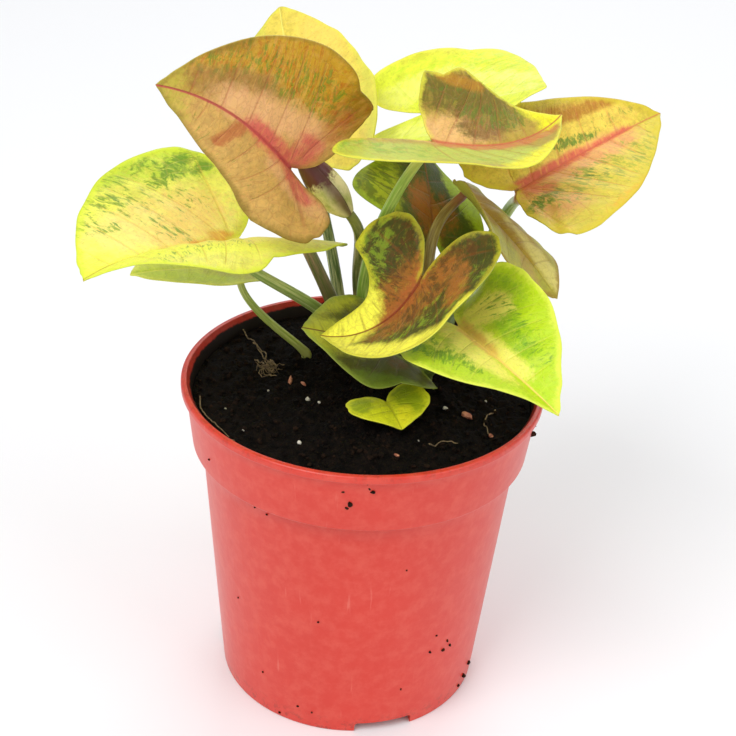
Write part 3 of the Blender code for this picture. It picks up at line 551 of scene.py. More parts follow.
LOOKS = {
    "upper_left": dict(
        base=(214, 170, 122), vein=(172, 84, 78), midrib=(186, 72, 96), margin=(122, 104, 40),
        back=(204, 198, 140), midrib_reach=0.5, vein_strength=0.34, margin_strength=0.5, washes=(
            ((198, 152, 46), "cloud", 0.95, (0.75, -0.75, 0.0, -1.0, 0.42, 1.0),
             (0.9, -0.2, 0.7, -0.6, 0.2, 0.9)),
            ((190, 112, 36), "fleck", 0.8, (0.7, -0.5, 0.1, -0.8, 0.3, 1.5),
             (0.65, -0.8, 0.3, -0.9, 0.2, 1.3)),
            ((106, 138, 46), "fleck", 0.85, (0.75, -0.4, 0.1, -0.75, 0.3, 1.5),
             (0.8, 0.3, 0.3, 0.6, 0.2, 0.7)),
            # Painted shadow: a purple-grey shadow patch on the far half, beside the midrib.
            ((152, 112, 76), "soft", 0.75, (0.8, -0.15, 0.5, -0.35, 0.13, 0.9)),
            ((232, 178, 164), "soft", 0.9, (0.55, -0.1, 0.1, -0.35, 0.16, 0.9),
             (0.1, 0.2, -0.2, 0.4, 0.14, 0.7)),
            # Partly painted shade: dark olive along the near half's outer margin, on its shadow side; the
            # same wash also gives the near lobe its own dark lower edge.
            ((138, 112, 52), "soft", 0.85, (0.62, 0.75, 0.3, 1.0, 0.16, 1.0),
             (0.0, 1.0, -0.3, 0.85, 0.1, 0.8)),
            # Painted shade: dark brown at the far lobe's end, with a second patch of it on the far half
            # toward the tip.
            ((142, 100, 30), "soft", 0.75, (0.05, -1.0, -0.1, -0.75, 0.16, 0.9),
             (0.95, -0.35, 0.75, -0.62, 0.08, 0.8)),
            ((186, 172, 84), "cloud", 0.85, (1.0, -0.1, 0.92, 0.3, 0.15, 1.0)),
            ((176, 88, 62), "soft", 0.75, (0.45, 0.05, 0.56, 0.4, 0.045, 1.0),
             (-0.05, -0.5, 0.05, -0.7, 0.12, 0.6)),
            ((212, 94, 118), "soft", 0.9, (0.0, -0.02, 0.34, -0.03, 0.1, 1.0),
             (0.0, -0.1, 0.0, -0.3, 0.11, 0.8), (0.0, 0.1, -0.12, 0.3, 0.09, 0.8),
             (0.1, 0.1, 0.3, 0.1, 0.05, 0.5)),
        )),
    "top_back_left": dict(
        base=(230, 206, 112), vein=(210, 180, 92), midrib=(238, 226, 150), margin=(214, 212, 98),
        back=(236, 224, 140), vein_strength=0.2, washes=(
            ((240, 204, 128), "soft", 0.8, (0.1, -0.3, 0.7, -0.5, 0.3, 0.9)),
            ((200, 200, 104), "cloud", 0.7, (0.3, -1.0, -0.3, -0.9, 0.16, 1.0),
             (0.9, 0.3, 0.6, 0.8, 0.12, 0.8)),
        )),
    "left": dict(
        base=(228, 226, 122), vein=(222, 176, 100), midrib=(206, 136, 52), margin=(206, 220, 66),
        midrib_strength=0.6, vein_strength=0.3, margin_strength=0.7, margin_reach=1.4, washes=(
            ((226, 232, 96), "soft", 0.9, (1.0, 0.0, 0.75, -0.6, 0.26, 1.1),
             (0.9, 0.0, 0.2, 0.6, 0.3, 1.0)),
            ((240, 218, 160), "soft", 0.8, (0.55, -0.3, 0.2, -0.3, 0.26, 1.0),
             (0.3, 0.3, -0.1, 0.5, 0.25, 0.6)),
            ((232, 192, 136), "cloud", 0.75, (0.35, -0.1, 0.05, -0.4, 0.2, 0.8),
             (0.5, -0.45, 0.2, -0.55, 0.1, 0.5)),
            ((172, 200, 56), "cloud", 0.85, (0.65, -0.95, -0.2, -1.0, 0.17, 1.0),
             (0.2, -0.8, -0.1, -0.8, 0.12, 0.8)),
            ((98, 140, 40), "fleck", 0.9, (0.15, -0.75, -0.15, -0.9, 0.15, 2.0),
             (0.45, -0.62, 0.62, -0.72, 0.1, 1.7), (0.62, -0.4, 0.74, -0.5, 0.1, 1.6),
             (0.3, -0.1, 0.34, -0.3, 0.1, 1.4), (0.4, -0.85, 0.2, -0.9, 0.12, 1.5),
             (0.2, -0.5, 0.8, -0.6, 0.25, 1.1), (0.2, 0.5, 0.6, 0.6, 0.2, 1.2)),
            ((212, 142, 56), "soft", 0.8, (-0.04, -0.02, 0.06, -0.08, 0.07, 1.0),
             (0.02, -0.02, 0.25, -0.03, 0.03, 0.8)),
        )),
    "left_lower": dict(
        base=(212, 222, 104), vein=(190, 204, 80), midrib=(226, 226, 140), margin=(236, 236, 150), washes=(
            ((178, 172, 76), "soft", 0.8, (0.1, 0.3, -0.1, 0.7, 0.3, 1.0)),
            ((188, 208, 70), "cloud", 0.8, (0.9, 0.1, 0.4, 0.7, 0.22, 0.8)),
        )),
    "top_back_right": dict(
        base=(226, 238, 84), vein=(200, 216, 70), midrib=(240, 240, 170), margin=(240, 238, 120),
        vein_strength=0.24, washes=(
            ((238, 242, 170), "cloud", 0.8, (0.1, 0.5, 0.7, 0.4, 0.2, 0.8),
             (-0.3, 0.3, -0.1, 0.4, 0.2, 0.9), (0.2, 0.1, 0.8, 0.1, 0.15, 0.7),
             (0.0, -0.4, 0.3, -0.7, 0.2, 0.8)),
            ((186, 214, 52), "fleck", 0.7, (-0.3, 0.8, 0.6, 0.8, 0.3, 1.3), (0.3, 0.4, 0.8, 0.4, 0.2, 1.0)),
            ((212, 200, 84), "soft", 0.7, (-0.3, 0.9, 0.0, 1.0, 0.14, 0.8)),
        )),
    "top_front": dict(
        base=(180, 154, 82), vein=(172, 96, 76), midrib=(190, 98, 88), margin=(232, 226, 90),
        midrib_reach=0.6, vein_strength=0.3, washes=(
            ((228, 178, 150), "soft", 0.9, (0.0, 0.1, 0.3, 0.25, 0.22, 1.1)),
            ((106, 94, 34), "cloud", 0.95, (-0.05, 0.8, 0.55, 0.7, 0.3, 1.3),
             (0.35, 0.25, 0.55, 0.35, 0.17, 0.9)),
            ((132, 92, 60), "cloud", 0.8, (0.3, 0.45, 0.45, 0.2, 0.14, 0.9)),
            ((92, 116, 40), "fleck", 0.75, (0.4, 0.5, 0.7, 0.35, 0.2, 1.8), (0.0, 0.8, 0.3, 0.8, 0.2, 1.2)),
            ((176, 122, 40), "soft", 0.8, (0.15, 0.98, 0.5, 0.9, 0.09, 1.0)),
            ((180, 192, 96), "soft", 0.95, (-0.6, -0.6, 0.35, -0.6, 0.32, 1.3)),
            ((140, 172, 62), "fleck", 0.85, (-0.6, -0.4, -0.2, -0.5, 0.22, 1.7),
             (-0.2, -0.8, 0.5, -0.8, 0.15, 1.2)),
            ((200, 116, 84), "soft", 0.85, (0.1, -0.12, 0.8, -0.12, 0.12, 0.9)),
            ((228, 222, 50), "soft", 1.0, (1.0, 0.0, 0.93, 0.0, 0.12, 1.2),
             (0.8, -0.6, 0.5, -0.95, 0.16, 1.1), (0.9, 0.4, 0.95, 0.1, 0.1, 1.0)),
        )),
    "right": dict(
        base=(234, 204, 112), vein=(200, 116, 84), midrib=(206, 104, 104), margin=(206, 186, 64),
        midrib_reach=0.5, midrib_strength=0.6, vein_strength=0.32, margin_reach=1.6, margin_strength=0.7,
        washes=(
            ((204, 190, 88), "cloud", 0.85, (0.85, -0.3, 0.2, -0.95, 0.24, 1.1),
             (1.0, 0.0, 0.85, -0.3, 0.18, 1.0), (-0.1, -0.6, 0.2, -0.95, 0.14, 0.8)),
            ((224, 154, 140), "soft", 0.8, (0.0, -0.1, 0.6, -0.1, 0.18, 1.0),
             (-0.05, -0.3, 0.1, -0.6, 0.16, 0.7)),
            ((140, 156, 70), "fleck", 0.8, (0.15, -0.4, 0.75, -0.45, 0.3, 1.5),
             (0.3, 0.2, 0.8, 0.2, 0.12, 1.0)),
            ((90, 128, 56), "fleck", 0.9, (-0.05, -0.4, 0.08, -0.36, 0.1, 2.1),
             (0.3, -0.3, 0.42, -0.42, 0.08, 1.5), (0.38, 0.22, 0.52, 0.14, 0.07, 2.2),
             (0.7, 0.2, 0.85, 0.2, 0.1, 1.0)),
            ((178, 154, 60), "cloud", 0.9, (0.3, 0.9, 0.9, 0.7, 0.24, 1.1),
             (0.95, 0.3, 1.0, 0.1, 0.12, 0.8)),
            ((166, 104, 34), "soft", 0.85, (0.5, 0.5, 0.8, 0.42, 0.09, 1.1),
             (0.4, 0.65, 0.6, 0.5, 0.1, 0.7)),
            ((226, 164, 58), "cloud", 0.8, (0.6, -0.8, 0.35, -0.95, 0.1, 0.9)),
            ((212, 100, 104), "soft", 0.95, (0.0, 0.0, 0.4, 0.0, 0.085, 1.2),
             (0.02, -0.1, 0.1, -0.25, 0.07, 0.7), (0.4, 0.0, 0.75, 0.0, 0.05, 0.8)),
        )),
    "right_drooping": dict(
        base=(180, 174, 84), vein=(150, 118, 60), midrib=(158, 136, 58), margin=(146, 112, 48),
        back=(200, 196, 118), margin_reach=1.2, margin_strength=0.75, midrib_strength=0.5, washes=(
            ((162, 122, 50), "soft", 0.9, (0.0, 0.0, 0.4, 0.2, 0.35, 1.1)),
            ((216, 202, 158), "soft", 0.9, (0.66, 0.25, 0.84, 0.2, 0.16, 1.1),
             (0.35, 0.3, 0.5, 0.3, 0.12, 0.7)),
            ((186, 150, 106), "cloud", 0.7, (0.6, -0.1, 0.8, -0.3, 0.14, 0.8)),
        )),
    "centre": dict(
        base=(72, 74, 28), vein=(132, 72, 36), midrib=(126, 48, 34), margin=(196, 188, 62),
        midrib_reach=0.55, vein_strength=0.36, margin_reach=1.1, washes=(
            # Painted shade: darker olive over both basal lobes, which lie in shade.
            ((62, 64, 30), "cloud", 0.9, (-0.6, 0.4, -0.25, 0.4, 0.3, 1.2),
             (-0.5, -0.5, -0.1, -0.4, 0.25, 0.9)),
            ((124, 148, 48), "fleck", 0.9, (-0.1, -0.8, 0.4, -0.5, 0.25, 1.7),
             (0.1, 0.5, 0.5, 0.5, 0.2, 1.6), (-0.5, 0.7, 0.1, 0.8, 0.15, 1.4),
             (-0.4, -0.6, 0.0, -0.6, 0.3, 1.3)),
            ((172, 104, 54), "cloud", 0.8, (-0.15, 0.3, 0.25, 0.25, 0.22, 0.9),
             (0.0, -0.1, 0.3, -0.25, 0.2, 0.9), (-0.25, 0.5, -0.1, 0.75, 0.13, 0.9),
             (0.2, 0.3, 0.5, 0.3, 0.14, 0.7)),
            ((168, 92, 54), "soft", 0.85, (0.0, 0.0, 0.6, 0.0, 0.13, 1.1)),
            ((88, 58, 32), "fleck", 0.85, (-0.2, -0.4, 0.3, -0.3, 0.25, 1.5),
             (-0.4, 0.3, 0.2, 0.3, 0.25, 1.6)),
            ((206, 206, 66), "cloud", 0.95, (0.3, -0.85, 0.7, -0.45, 0.16, 1.1),
             (-0.1, -1.0, 0.2, -0.95, 0.1, 0.9), (0.35, -0.6, 0.45, -0.5, 0.12, 0.7)),
            ((246, 240, 110), "soft", 1.0, (0.65, -0.35, 0.95, 0.2, 0.25, 1.4),
             (0.7, 0.5, 0.25, 1.0, 0.15, 1.1), (-0.15, 0.98, 0.2, 1.0, 0.07, 1.0)),
        )),
    "lower_right": dict(
        base=(192, 212, 60), vein=(230, 222, 130), midrib=(238, 206, 140), margin=(226, 236, 110),
        midrib_reach=0.6, vein_strength=0.24, margin_reach=1.3, margin_strength=0.75, washes=(
            ((182, 212, 30), "soft", 0.95, (0.1, 1.0, 0.8, 0.5, 0.3, 1.2),
             (1.0, 0.1, 0.75, 0.1, 0.25, 1.1)),
            ((120, 172, 40), "cloud", 0.75, (0.15, 0.5, 0.5, 0.3, 0.16, 0.8),
             (-0.2, 0.7, 0.2, 0.75, 0.12, 0.6)),
            ((240, 228, 148), "cloud", 0.95, (0.05, 0.2, 0.15, 0.55, 0.12, 1.1),
             (0.1, 0.05, 0.6, 0.08, 0.12, 1.0), (0.0, -0.1, 0.5, -0.25, 0.2, 1.0),
             (0.2, -0.5, 0.5, -0.4, 0.14, 0.6)),
            ((184, 214, 56), "soft", 0.8, (0.5, -0.7, 0.9, -0.4, 0.2, 1.0),
             (-0.1, -0.9, 0.4, -1.0, 0.12, 0.8)),
            ((104, 152, 40), "fleck", 0.9, (0.1, -0.8, 0.3, -0.7, 0.16, 2.2),
             (0.35, -0.5, 0.5, -0.55, 0.12, 1.8), (0.0, -0.6, 0.12, -0.55, 0.12, 1.6),
             (0.15, 0.5, 0.6, 0.4, 0.2, 1.3)),
            ((228, 182, 124), "soft", 0.9, (0.0, 0.02, 0.35, 0.0, 0.09, 1.1)),
        )),
    "under_centre": dict(
        # Painted shade: the dark base stands for the shadow the centre leaf casts over this blade.
        base=(86, 88, 38), vein=(96, 62, 36), midrib=(110, 60, 40), margin=(140, 156, 76), margin_reach=1.3,
        washes=(
            # Painted light: the pale wash where light reaches the tip and the lower margin of the shaded
            # blade.
            ((186, 186, 74), "soft", 0.95, (1.0, 0.0, 0.6, 0.1, 0.36, 1.4),
             (0.8, -0.6, 0.5, -0.9, 0.2, 0.9)),
            ((108, 130, 58), "cloud", 0.85, (0.6, 1.0, 0.2, 1.0, 0.2, 1.1)),
            ((120, 66, 40), "cloud", 0.6, (0.0, 0.3, 0.1, 0.5, 0.13, 0.7)),
        )),
    "behind_centre": dict(
        base=(78, 92, 36), vein=(120, 84, 40), midrib=(132, 82, 42), margin=(168, 190, 58),
        margin_reach=1.3, washes=(
            ((164, 172, 54), "cloud", 0.9, (0.35, 0.9, 0.8, 0.8, 0.3, 1.2)),
            ((92, 110, 36), "fleck", 0.85, (0.3, 1.0, 0.8, 0.8, 0.3, 1.8)),
            ((158, 92, 44), "cloud", 0.9, (0.1, 0.0, 0.3, 0.2, 0.25, 1.0),
             (0.15, -0.4, 0.3, -0.3, 0.15, 0.7)),
            ((176, 200, 52), "cloud", 0.95, (0.1, -1.0, 0.6, -0.6, 0.18, 1.2)),
        )),
    "small_heart": dict(
        base=(226, 228, 56), vein=(178, 188, 42), midrib=(186, 186, 44), margin=(232, 230, 74),
        margin_reach=0.6, vein_strength=0.2, washes=(
            ((148, 166, 34), "soft", 0.9, (-0.05, 0.5, 0.3, 0.55, 0.3, 1.1),
             (0.0, -0.6, 0.2, -0.7, 0.24, 1.0)),
            ((236, 226, 60), "soft", 0.8, (0.5, 0.3, 0.9, 0.1, 0.2, 0.9)),
        )),
}
# Side veins on each half of a blade, where they differ from the usual number.
VEINS = {"small_heart": 3, "under_centre": 4, "behind_centre": 4}


def patch_values(patches, along, across):
    """How much of a wash each point takes: full inside a patch, half at its reach, none half as far again."""
    shares = np.zeros_like(along)
    for start_along, start_across, end_along, end_across, reach, strength in patches:
        run = np.array([end_along - start_along, end_across - start_across])
        offset = np.stack([along - start_along, across - start_across], -1)
        part = np.clip(offset @ run / max(1e-9, run @ run), 0.0, 1.0)
        gap = np.linalg.norm(offset - part[..., None] * run, axis=-1) / reach
        shares = np.maximum(shares, strength * np.clip(1.5 - gap, 0.0, 1.0))
    return shares


def fan_faces(rays, count):
    """Faces of a closed sheet: a fan round vertex 0 of the upper face, the same for the lower one, and the
    rim between them. Count is the number of vertices of one face."""
    ray_start = 1 + np.arange(rays) * RINGS
    faces = []
    for here, after in zip(ray_start, np.roll(ray_start, -1)):
        faces.append((0, after, here))
        faces += [(here + ring, after + ring, after + ring + 1, here + ring + 1) for ring in range(RINGS - 1)]
    under_faces = [tuple(count + corner for corner in reversed(face)) for face in faces]
    rim = ray_start + RINGS - 1
    edge_faces = [(a, b, count + b, count + a) for a, b in zip(rim, np.roll(rim, -1))]
    return faces + under_faces + edge_faces


def build_blade(leaf, seed):
    """Fine heart-shaped blade: rays from a hub on the midrib, laid out above and below and closed."""
    right_side = heart_side(leaf, 1)
    outline = np.array([(0.0, 0.0)] + heart_side(leaf, 0)[::-1] + right_side[1:])
    rays, tip_ray = len(outline), len(right_side)
    share = np.abs(np.arange(rays) - tip_ray) / tip_ray
    right = np.arange(rays) > tip_ray
    still = np.sin(math.pi * share)
    signed = np.where(right, -share, share)
    size = leaf.length / USUAL_LENGTH
    hub = np.array([HUB_AT * leaf.length, 0.0])
    away = outline - hub
    teeth = wavy(signed, seed, TEETH_WAVES) * TEETH_HEIGHT * size * still ** 0.5
    outline = outline + away / np.linalg.norm(away, axis=1, keepdims=True) * teeth[:, None]
    outline[tip_ray, 1] = outline[0, 1] = 0.0
    rings = 1.0 - (1.0 - np.arange(1, RINGS + 1) / RINGS) ** 1.25
    flat = hub + (outline - hub)[:, None, :] * rings[None, :, None]
    flat = np.concatenate([hub[None], flat.reshape(-1, 2)])
    phase = 2 * math.pi * MARGIN_WAVES * share + np.where(right, RIGHT_WAVE_SHIFT, 0.0)
    lift = leaf.wave * np.sin(phase) * still
    ripple = wavy(signed, seed + 3, RIPPLE_WAVES) * RIPPLE_HEIGHT * size * still ** 0.5
    lift = np.concatenate([[0.0], (lift[:, None] * rings ** 2 + ripple[:, None] * rings ** 4).ravel()])
    distance, across = flat[:, 0], flat[:, 1]
    along = distance / leaf.length
    width = by_side(across, leaf.half_width)
    edge = np.min(np.linalg.norm(flat[:, None, :] - outline[None], axis=2), axis=1)
    look = LOOKS[leaf.name]
    veins = VEINS.get(leaf.name, USUAL_VEINS)
    number, gap, out = vein_lines(leaf, distance, across, veins)
    away_from_rib = soft_step(0.0, 2.5 * size, np.abs(across)) * soft_step(0.0, 2.5 * size, edge)
    puff = -np.cos(2 * math.pi * (number - 0.5)) * PUFF_HEIGHT * size
    puff = puff * away_from_rib * soft_step(0.6, 2.0, gap)
    points, normals = blade_points(leaf, distance, across), blade_normals(leaf, distance, across)
    middle = points + normals * (lift + puff)[:, None]
    half = (BLADE_MARGIN + (BLADE_MIDDLE - BLADE_MARGIN) * soft_step(0.0, 3.0, edge)) / 2
    rib = np.exp(-(np.abs(across) / MIDRIB_WIDTH) ** 2) * (1.0 - 0.8 * np.clip(along, 0.0, 1.0))
    groove = MIDRIB_GROOVE * rib * size * soft_step(0.0, 1.0, edge)
    upper = middle + normals * (half - groove)[:, None]
    lower = middle - normals * (half + MIDRIB_RIDGE * rib * size * soft_step(0.0, 0.8, edge))[:, None]
    count = len(upper)
    blade = add_piece("leaf_" + leaf.name, np.concatenate([upper, lower]), fan_faces(rays, count),
                      leaf_look(leaf, **look), ("blade_" + leaf.name,))
    place_on_leaf = np.stack([distance, across, np.full(count, seed * 5.0)], 1)
    across_veins = number * leaf.length / veins * VEIN_SLANT
    grain = np.stack([across_veins, out, by_side(across, (0.0, 40.0)) + seed], 1)
    from_midrib = np.abs(across) / (1.0 - 0.6 * np.clip(along, 0, 1))
    add_to_both_faces(blade.data, flat=place_on_leaf, grain=grain, vein=number, gap=gap, edge=edge,
                      midrib=from_midrib)
    add_values(blade.data, "under", np.concatenate([np.zeros(count), np.ones(count)]))
    for place, (_, _, _, *patches) in enumerate(look["washes"]):
        add_to_both_faces(blade.data, **{"wash%d" % place: patch_values(patches, along, across / width)})


# Petioles

def bezier(points, share):
    """Points of a cubic curve."""
    share = np.asarray(share)[:, None]
    rest = 1.0 - share
    return (rest ** 3 * points[0] + 3 * rest ** 2 * share * points[1] + 3 * rest * share ** 2 * points[2]
            + share ** 3 * points[3])


def petiole_route(foot, lean, rise, top, arrival, reach):
    """Centre line: straight up out of the peat, then one smooth curve to the blade."""
    bottom = np.array([foot[0], foot[1], PEAT_TOP - HOLE_DEPTH + FIT_GAP])
    collar = np.array([foot[0], foot[1], PEAT_TOP + COLLAR_ABOVE_PEAT])
    rising = collar + np.array([lean[0], lean[1], 1.0]) * rise
    nearing = top - arrival * reach
    curve = bezier((collar, rising, nearing, top), np.arange(PETIOLE_STEPS + 1) / PETIOLE_STEPS)
    start = np.arange(PETIOLE_FOOT_STEPS) / PETIOLE_FOOT_STEPS
    return np.concatenate([bottom + (collar - bottom) * start[:, None], curve])


def tube(route, radii, sides, groove=0.0, facing=(0.0, -1.0, 0.0)):
    """Vertices and faces of a round tube along a line, closed at its ends, with a groove along one side."""
    tangents = np.gradient(route, axis=0)
    tangents /= np.linalg.norm(tangents, axis=1, keepdims=True)
    side = np.array(facing, float)
    side -= tangents[0] * (side @ tangents[0])
    vertices = []
    angles = 2 * math.pi * np.arange(sides) / sides
    shape = 1.0 - groove * np.exp(-(np.minimum(angles, 2 * math.pi - angles) / 0.5) ** 2)
    for point, tangent, radius in zip(route, tangents, radii):
        side = side - tangent * (side @ tangent)
        side /= np.linalg.norm(side)
        other = np.cross(tangent, side)
        ring = np.cos(angles)[:, None] * side + np.sin(angles)[:, None] * other
        vertices.append(point + ring * (radius * shape)[:, None])
    rows = len(route)
    vertices = np.concatenate(vertices + [route[:1], route[-1:]])
    faces = []
    for step in range(sides):
        after = (step + 1) % sides
        for row in range(rows - 1):
            low = row * sides
            faces.append((low + step, low + after, low + sides + after, low + sides + step))
        faces.append((rows * sides, after, step))
        top = (rows - 1) * sides
        faces.append((rows * sides + 1, top + step, top + after))
    return vertices, faces


def petiole_look(name, base, streak, top, foot):
    """Smooth green stalk with fine lengthwise streaks, another colour near the blade and near the peat."""
    base, streak, top, foot = [linear(colour) for colour in (base, streak, top, foot)]
    paint = Paint(name, 0.38, Subsurface_Weight=0.1, Subsurface_Radius=(1.0, 1.0, 0.4),
                  Subsurface_Scale=0.001)
    way = paint.values("way", "Vector")
    streaks = paint.clouds(paint.scaled(way, (2.2, 0.12, 1.0)), 1.0, 3.0, 0.6)
    blotches = paint.clouds(paint.scaled(way, (0.6, 0.35, 1.0), (3.0, 1.0, 0.0)), 1.0, 4.0, 0.6)
    colour = paint.blend(paint.step(streaks, 0.42, 0.62), base, streak)
    dark = tuple(part * 0.7 for part in base)
    colour = paint.blend(paint.step(blotches, 0.3, 0.75, 0.0, 0.35), colour, dark)
    colour = paint.blend(paint.step(paint.values("share"), 0.78, 1.0), colour, top)
    colour = paint.blend(paint.step(paint.values("share"), 0.05, 0.3, 1.0, 0.0), colour, foot)
    paint.relief(streaks, 0.00008)
    return paint.finish(colour)


def build_petiole(name, node, route, radii, colours, seed):
    """Petiole that tapers upward and widens a little more at its foot."""
    share = np.clip((np.arange(len(route)) - PETIOLE_FOOT_STEPS) / PETIOLE_STEPS, 0.0, 1.0)
    thick = radii[0] + share * (radii[1] - radii[0])
    thick = thick * (1.0 + 0.16 * soft_step(0.18, 0.0, share))
    vertices, faces = tube(route, thick, PETIOLE_SIDES, PETIOLE_GROOVE)
    piece = add_piece(name, vertices, faces, petiole_look(name, *colours), (node,))
    around = np.tile(np.arange(PETIOLE_SIDES) / PETIOLE_SIDES * 6.0, len(route))
    lengths = np.concatenate([[0.0], np.cumsum(np.linalg.norm(np.diff(route, axis=0), axis=1))])
    way = np.stack([around, np.repeat(lengths, PETIOLE_SIDES), np.full(around.shape, seed * 4.0)], 1)
    ends = np.array([[0.0, 0.0, seed * 4.0], [0.0, lengths[-1], seed * 4.0]])
    add_values(piece.data, "way", np.concatenate([way, ends]))
    add_values(piece.data, "share", np.concatenate([np.repeat(share, PETIOLE_SIDES), [0.0, 1.0]]))


# Colours of the petioles: base, streaks, at the blade and at the peat.
STALK = ((140, 168, 74), (182, 200, 112), (190, 190, 110), (120, 136, 66))
STALKS = {
    "upper_left": ((118, 132, 66), (206, 160, 128), (158, 66, 66), (122, 120, 70)),
    "top_back_left": ((84, 108, 50), (198, 200, 136), (150, 150, 80), (66, 80, 44)),
    "left": ((146, 172, 78), (206, 214, 138), (222, 190, 120), (122, 126, 72)),
    "left_lower": ((168, 190, 74), (216, 222, 124), (206, 212, 104), (176, 180, 92)),
    "top_back_right": ((160, 192, 66), (206, 222, 110), (214, 224, 100), (84, 104, 48)),
    "top_front": ((146, 184, 68), (196, 216, 110), (206, 204, 96), (92, 110, 52)),
    "right": ((152, 182, 84), (196, 210, 124), (204, 150, 96), (110, 130, 62)),
    "right_drooping": ((142, 116, 58), (186, 166, 96), (146, 92, 46), (100, 110, 54)),
    "centre": ((112, 132, 56), (178, 186, 106), (136, 76, 48), (90, 102, 48)),
    "behind_centre": ((90, 112, 48), (150, 166, 84), (120, 80, 44), (70, 84, 42)),
}
ROLLED_STALK = ((112, 124, 62), (196, 186, 122), (128, 132, 64), (204, 116, 108))


def leaf_petiole(leaf, seed):
    """The petiole of one leaf, up to the sinus of its blade."""
    arrival = np.array(leaf.arrival) / np.linalg.norm(leaf.arrival)
    face = blade_normals(leaf, np.array([0.0]), np.array([0.0]))[0]
    tilt = math.sqrt(max(0.0, 1.0 - float(arrival @ face) ** 2))
    clearance = CAD_BLADE / 2 + FIT_GAP + leaf.petiole_radius[1] * tilt
    top = np.array(leaf.sinus) - face * clearance
    route = petiole_route(leaf.foot, leaf.lean, leaf.rise, top, arrival, leaf.reach)
    last = top + face * (clearance - PETIOLE_END_BELOW_BLADE) * np.linspace(0.34, 1.0, 3)[:, None]
    route = np.concatenate([route, last])
    build_petiole("stalk_" + leaf.name, "petiole_" + leaf.name, route, leaf.petiole_radius,
                  STALKS.get(leaf.name, STALK), seed)


# New leaf

def roll_radius(share):
    """Radius of the rolled leaf along its length: slim foot, belly, slim tip."""
    swell = np.sin(math.pi / 2 * np.minimum(1.0, share / ROLL_WIDEST_AT))
    taper = np.maximum(0.0, share - ROLL_WIDEST_AT) / (1.0 - ROLL_WIDEST_AT)
    slim = ROLL_RADIUS * (ROLL_FOOT_SHARE + (1.0 - ROLL_FOOT_SHARE) * swell)
    return np.where(share < ROLL_WIDEST_AT, slim, ROLL_RADIUS * (1.0 - (1.0 - ROLL_TIP_SHARE) * taper ** 2))


def rolled_look():
    """Ivory and green below, dusky maroon above, with painted shade along the lip at the slit and on the
    inside.
    """
    paint = Paint("leaf_rolled", 0.35)
    flat = paint.values("flat", "Vector")
    cloud = paint.clouds(paint.scaled(flat, (0.5, 0.25, 1.0)), 1.0, 4.0, 0.6)
    fine = paint.clouds(paint.scaled(flat, (1.2, 0.8, 1.0), (5.0, 0.0, 0.0)), 1.0, 5.0, 0.7)
    colour = paint.blend(paint.step(cloud, 0.4, 0.72), linear((232, 220, 158)), linear((168, 180, 82)))
    colour = paint.blend(paint.step(fine, 0.55, 0.75, 0.0, 0.7), colour, linear((132, 122, 56)))
    dusky = paint.calc("MULTIPLY_ADD", paint.calc("SUBTRACT", fine, 0.5), 0.5, paint.values("far"))
    colour = paint.blend(paint.step(dusky, 0.56, 0.7), colour, linear((92, 40, 36)))
    # Painted shade: darkens the lip along the slit, and the inner face, where the roll's opening lies in
    # shadow.
    lip = paint.step(paint.values("lip"), 0.93, 0.985, 0.0, 0.85)
    colour = paint.blend(lip, colour, linear((84, 44, 30)))
    colour = paint.blend(paint.values("inner"), colour, linear((62, 28, 24)))
    paint.relief(cloud, 0.0001)
    return paint.finish(colour)


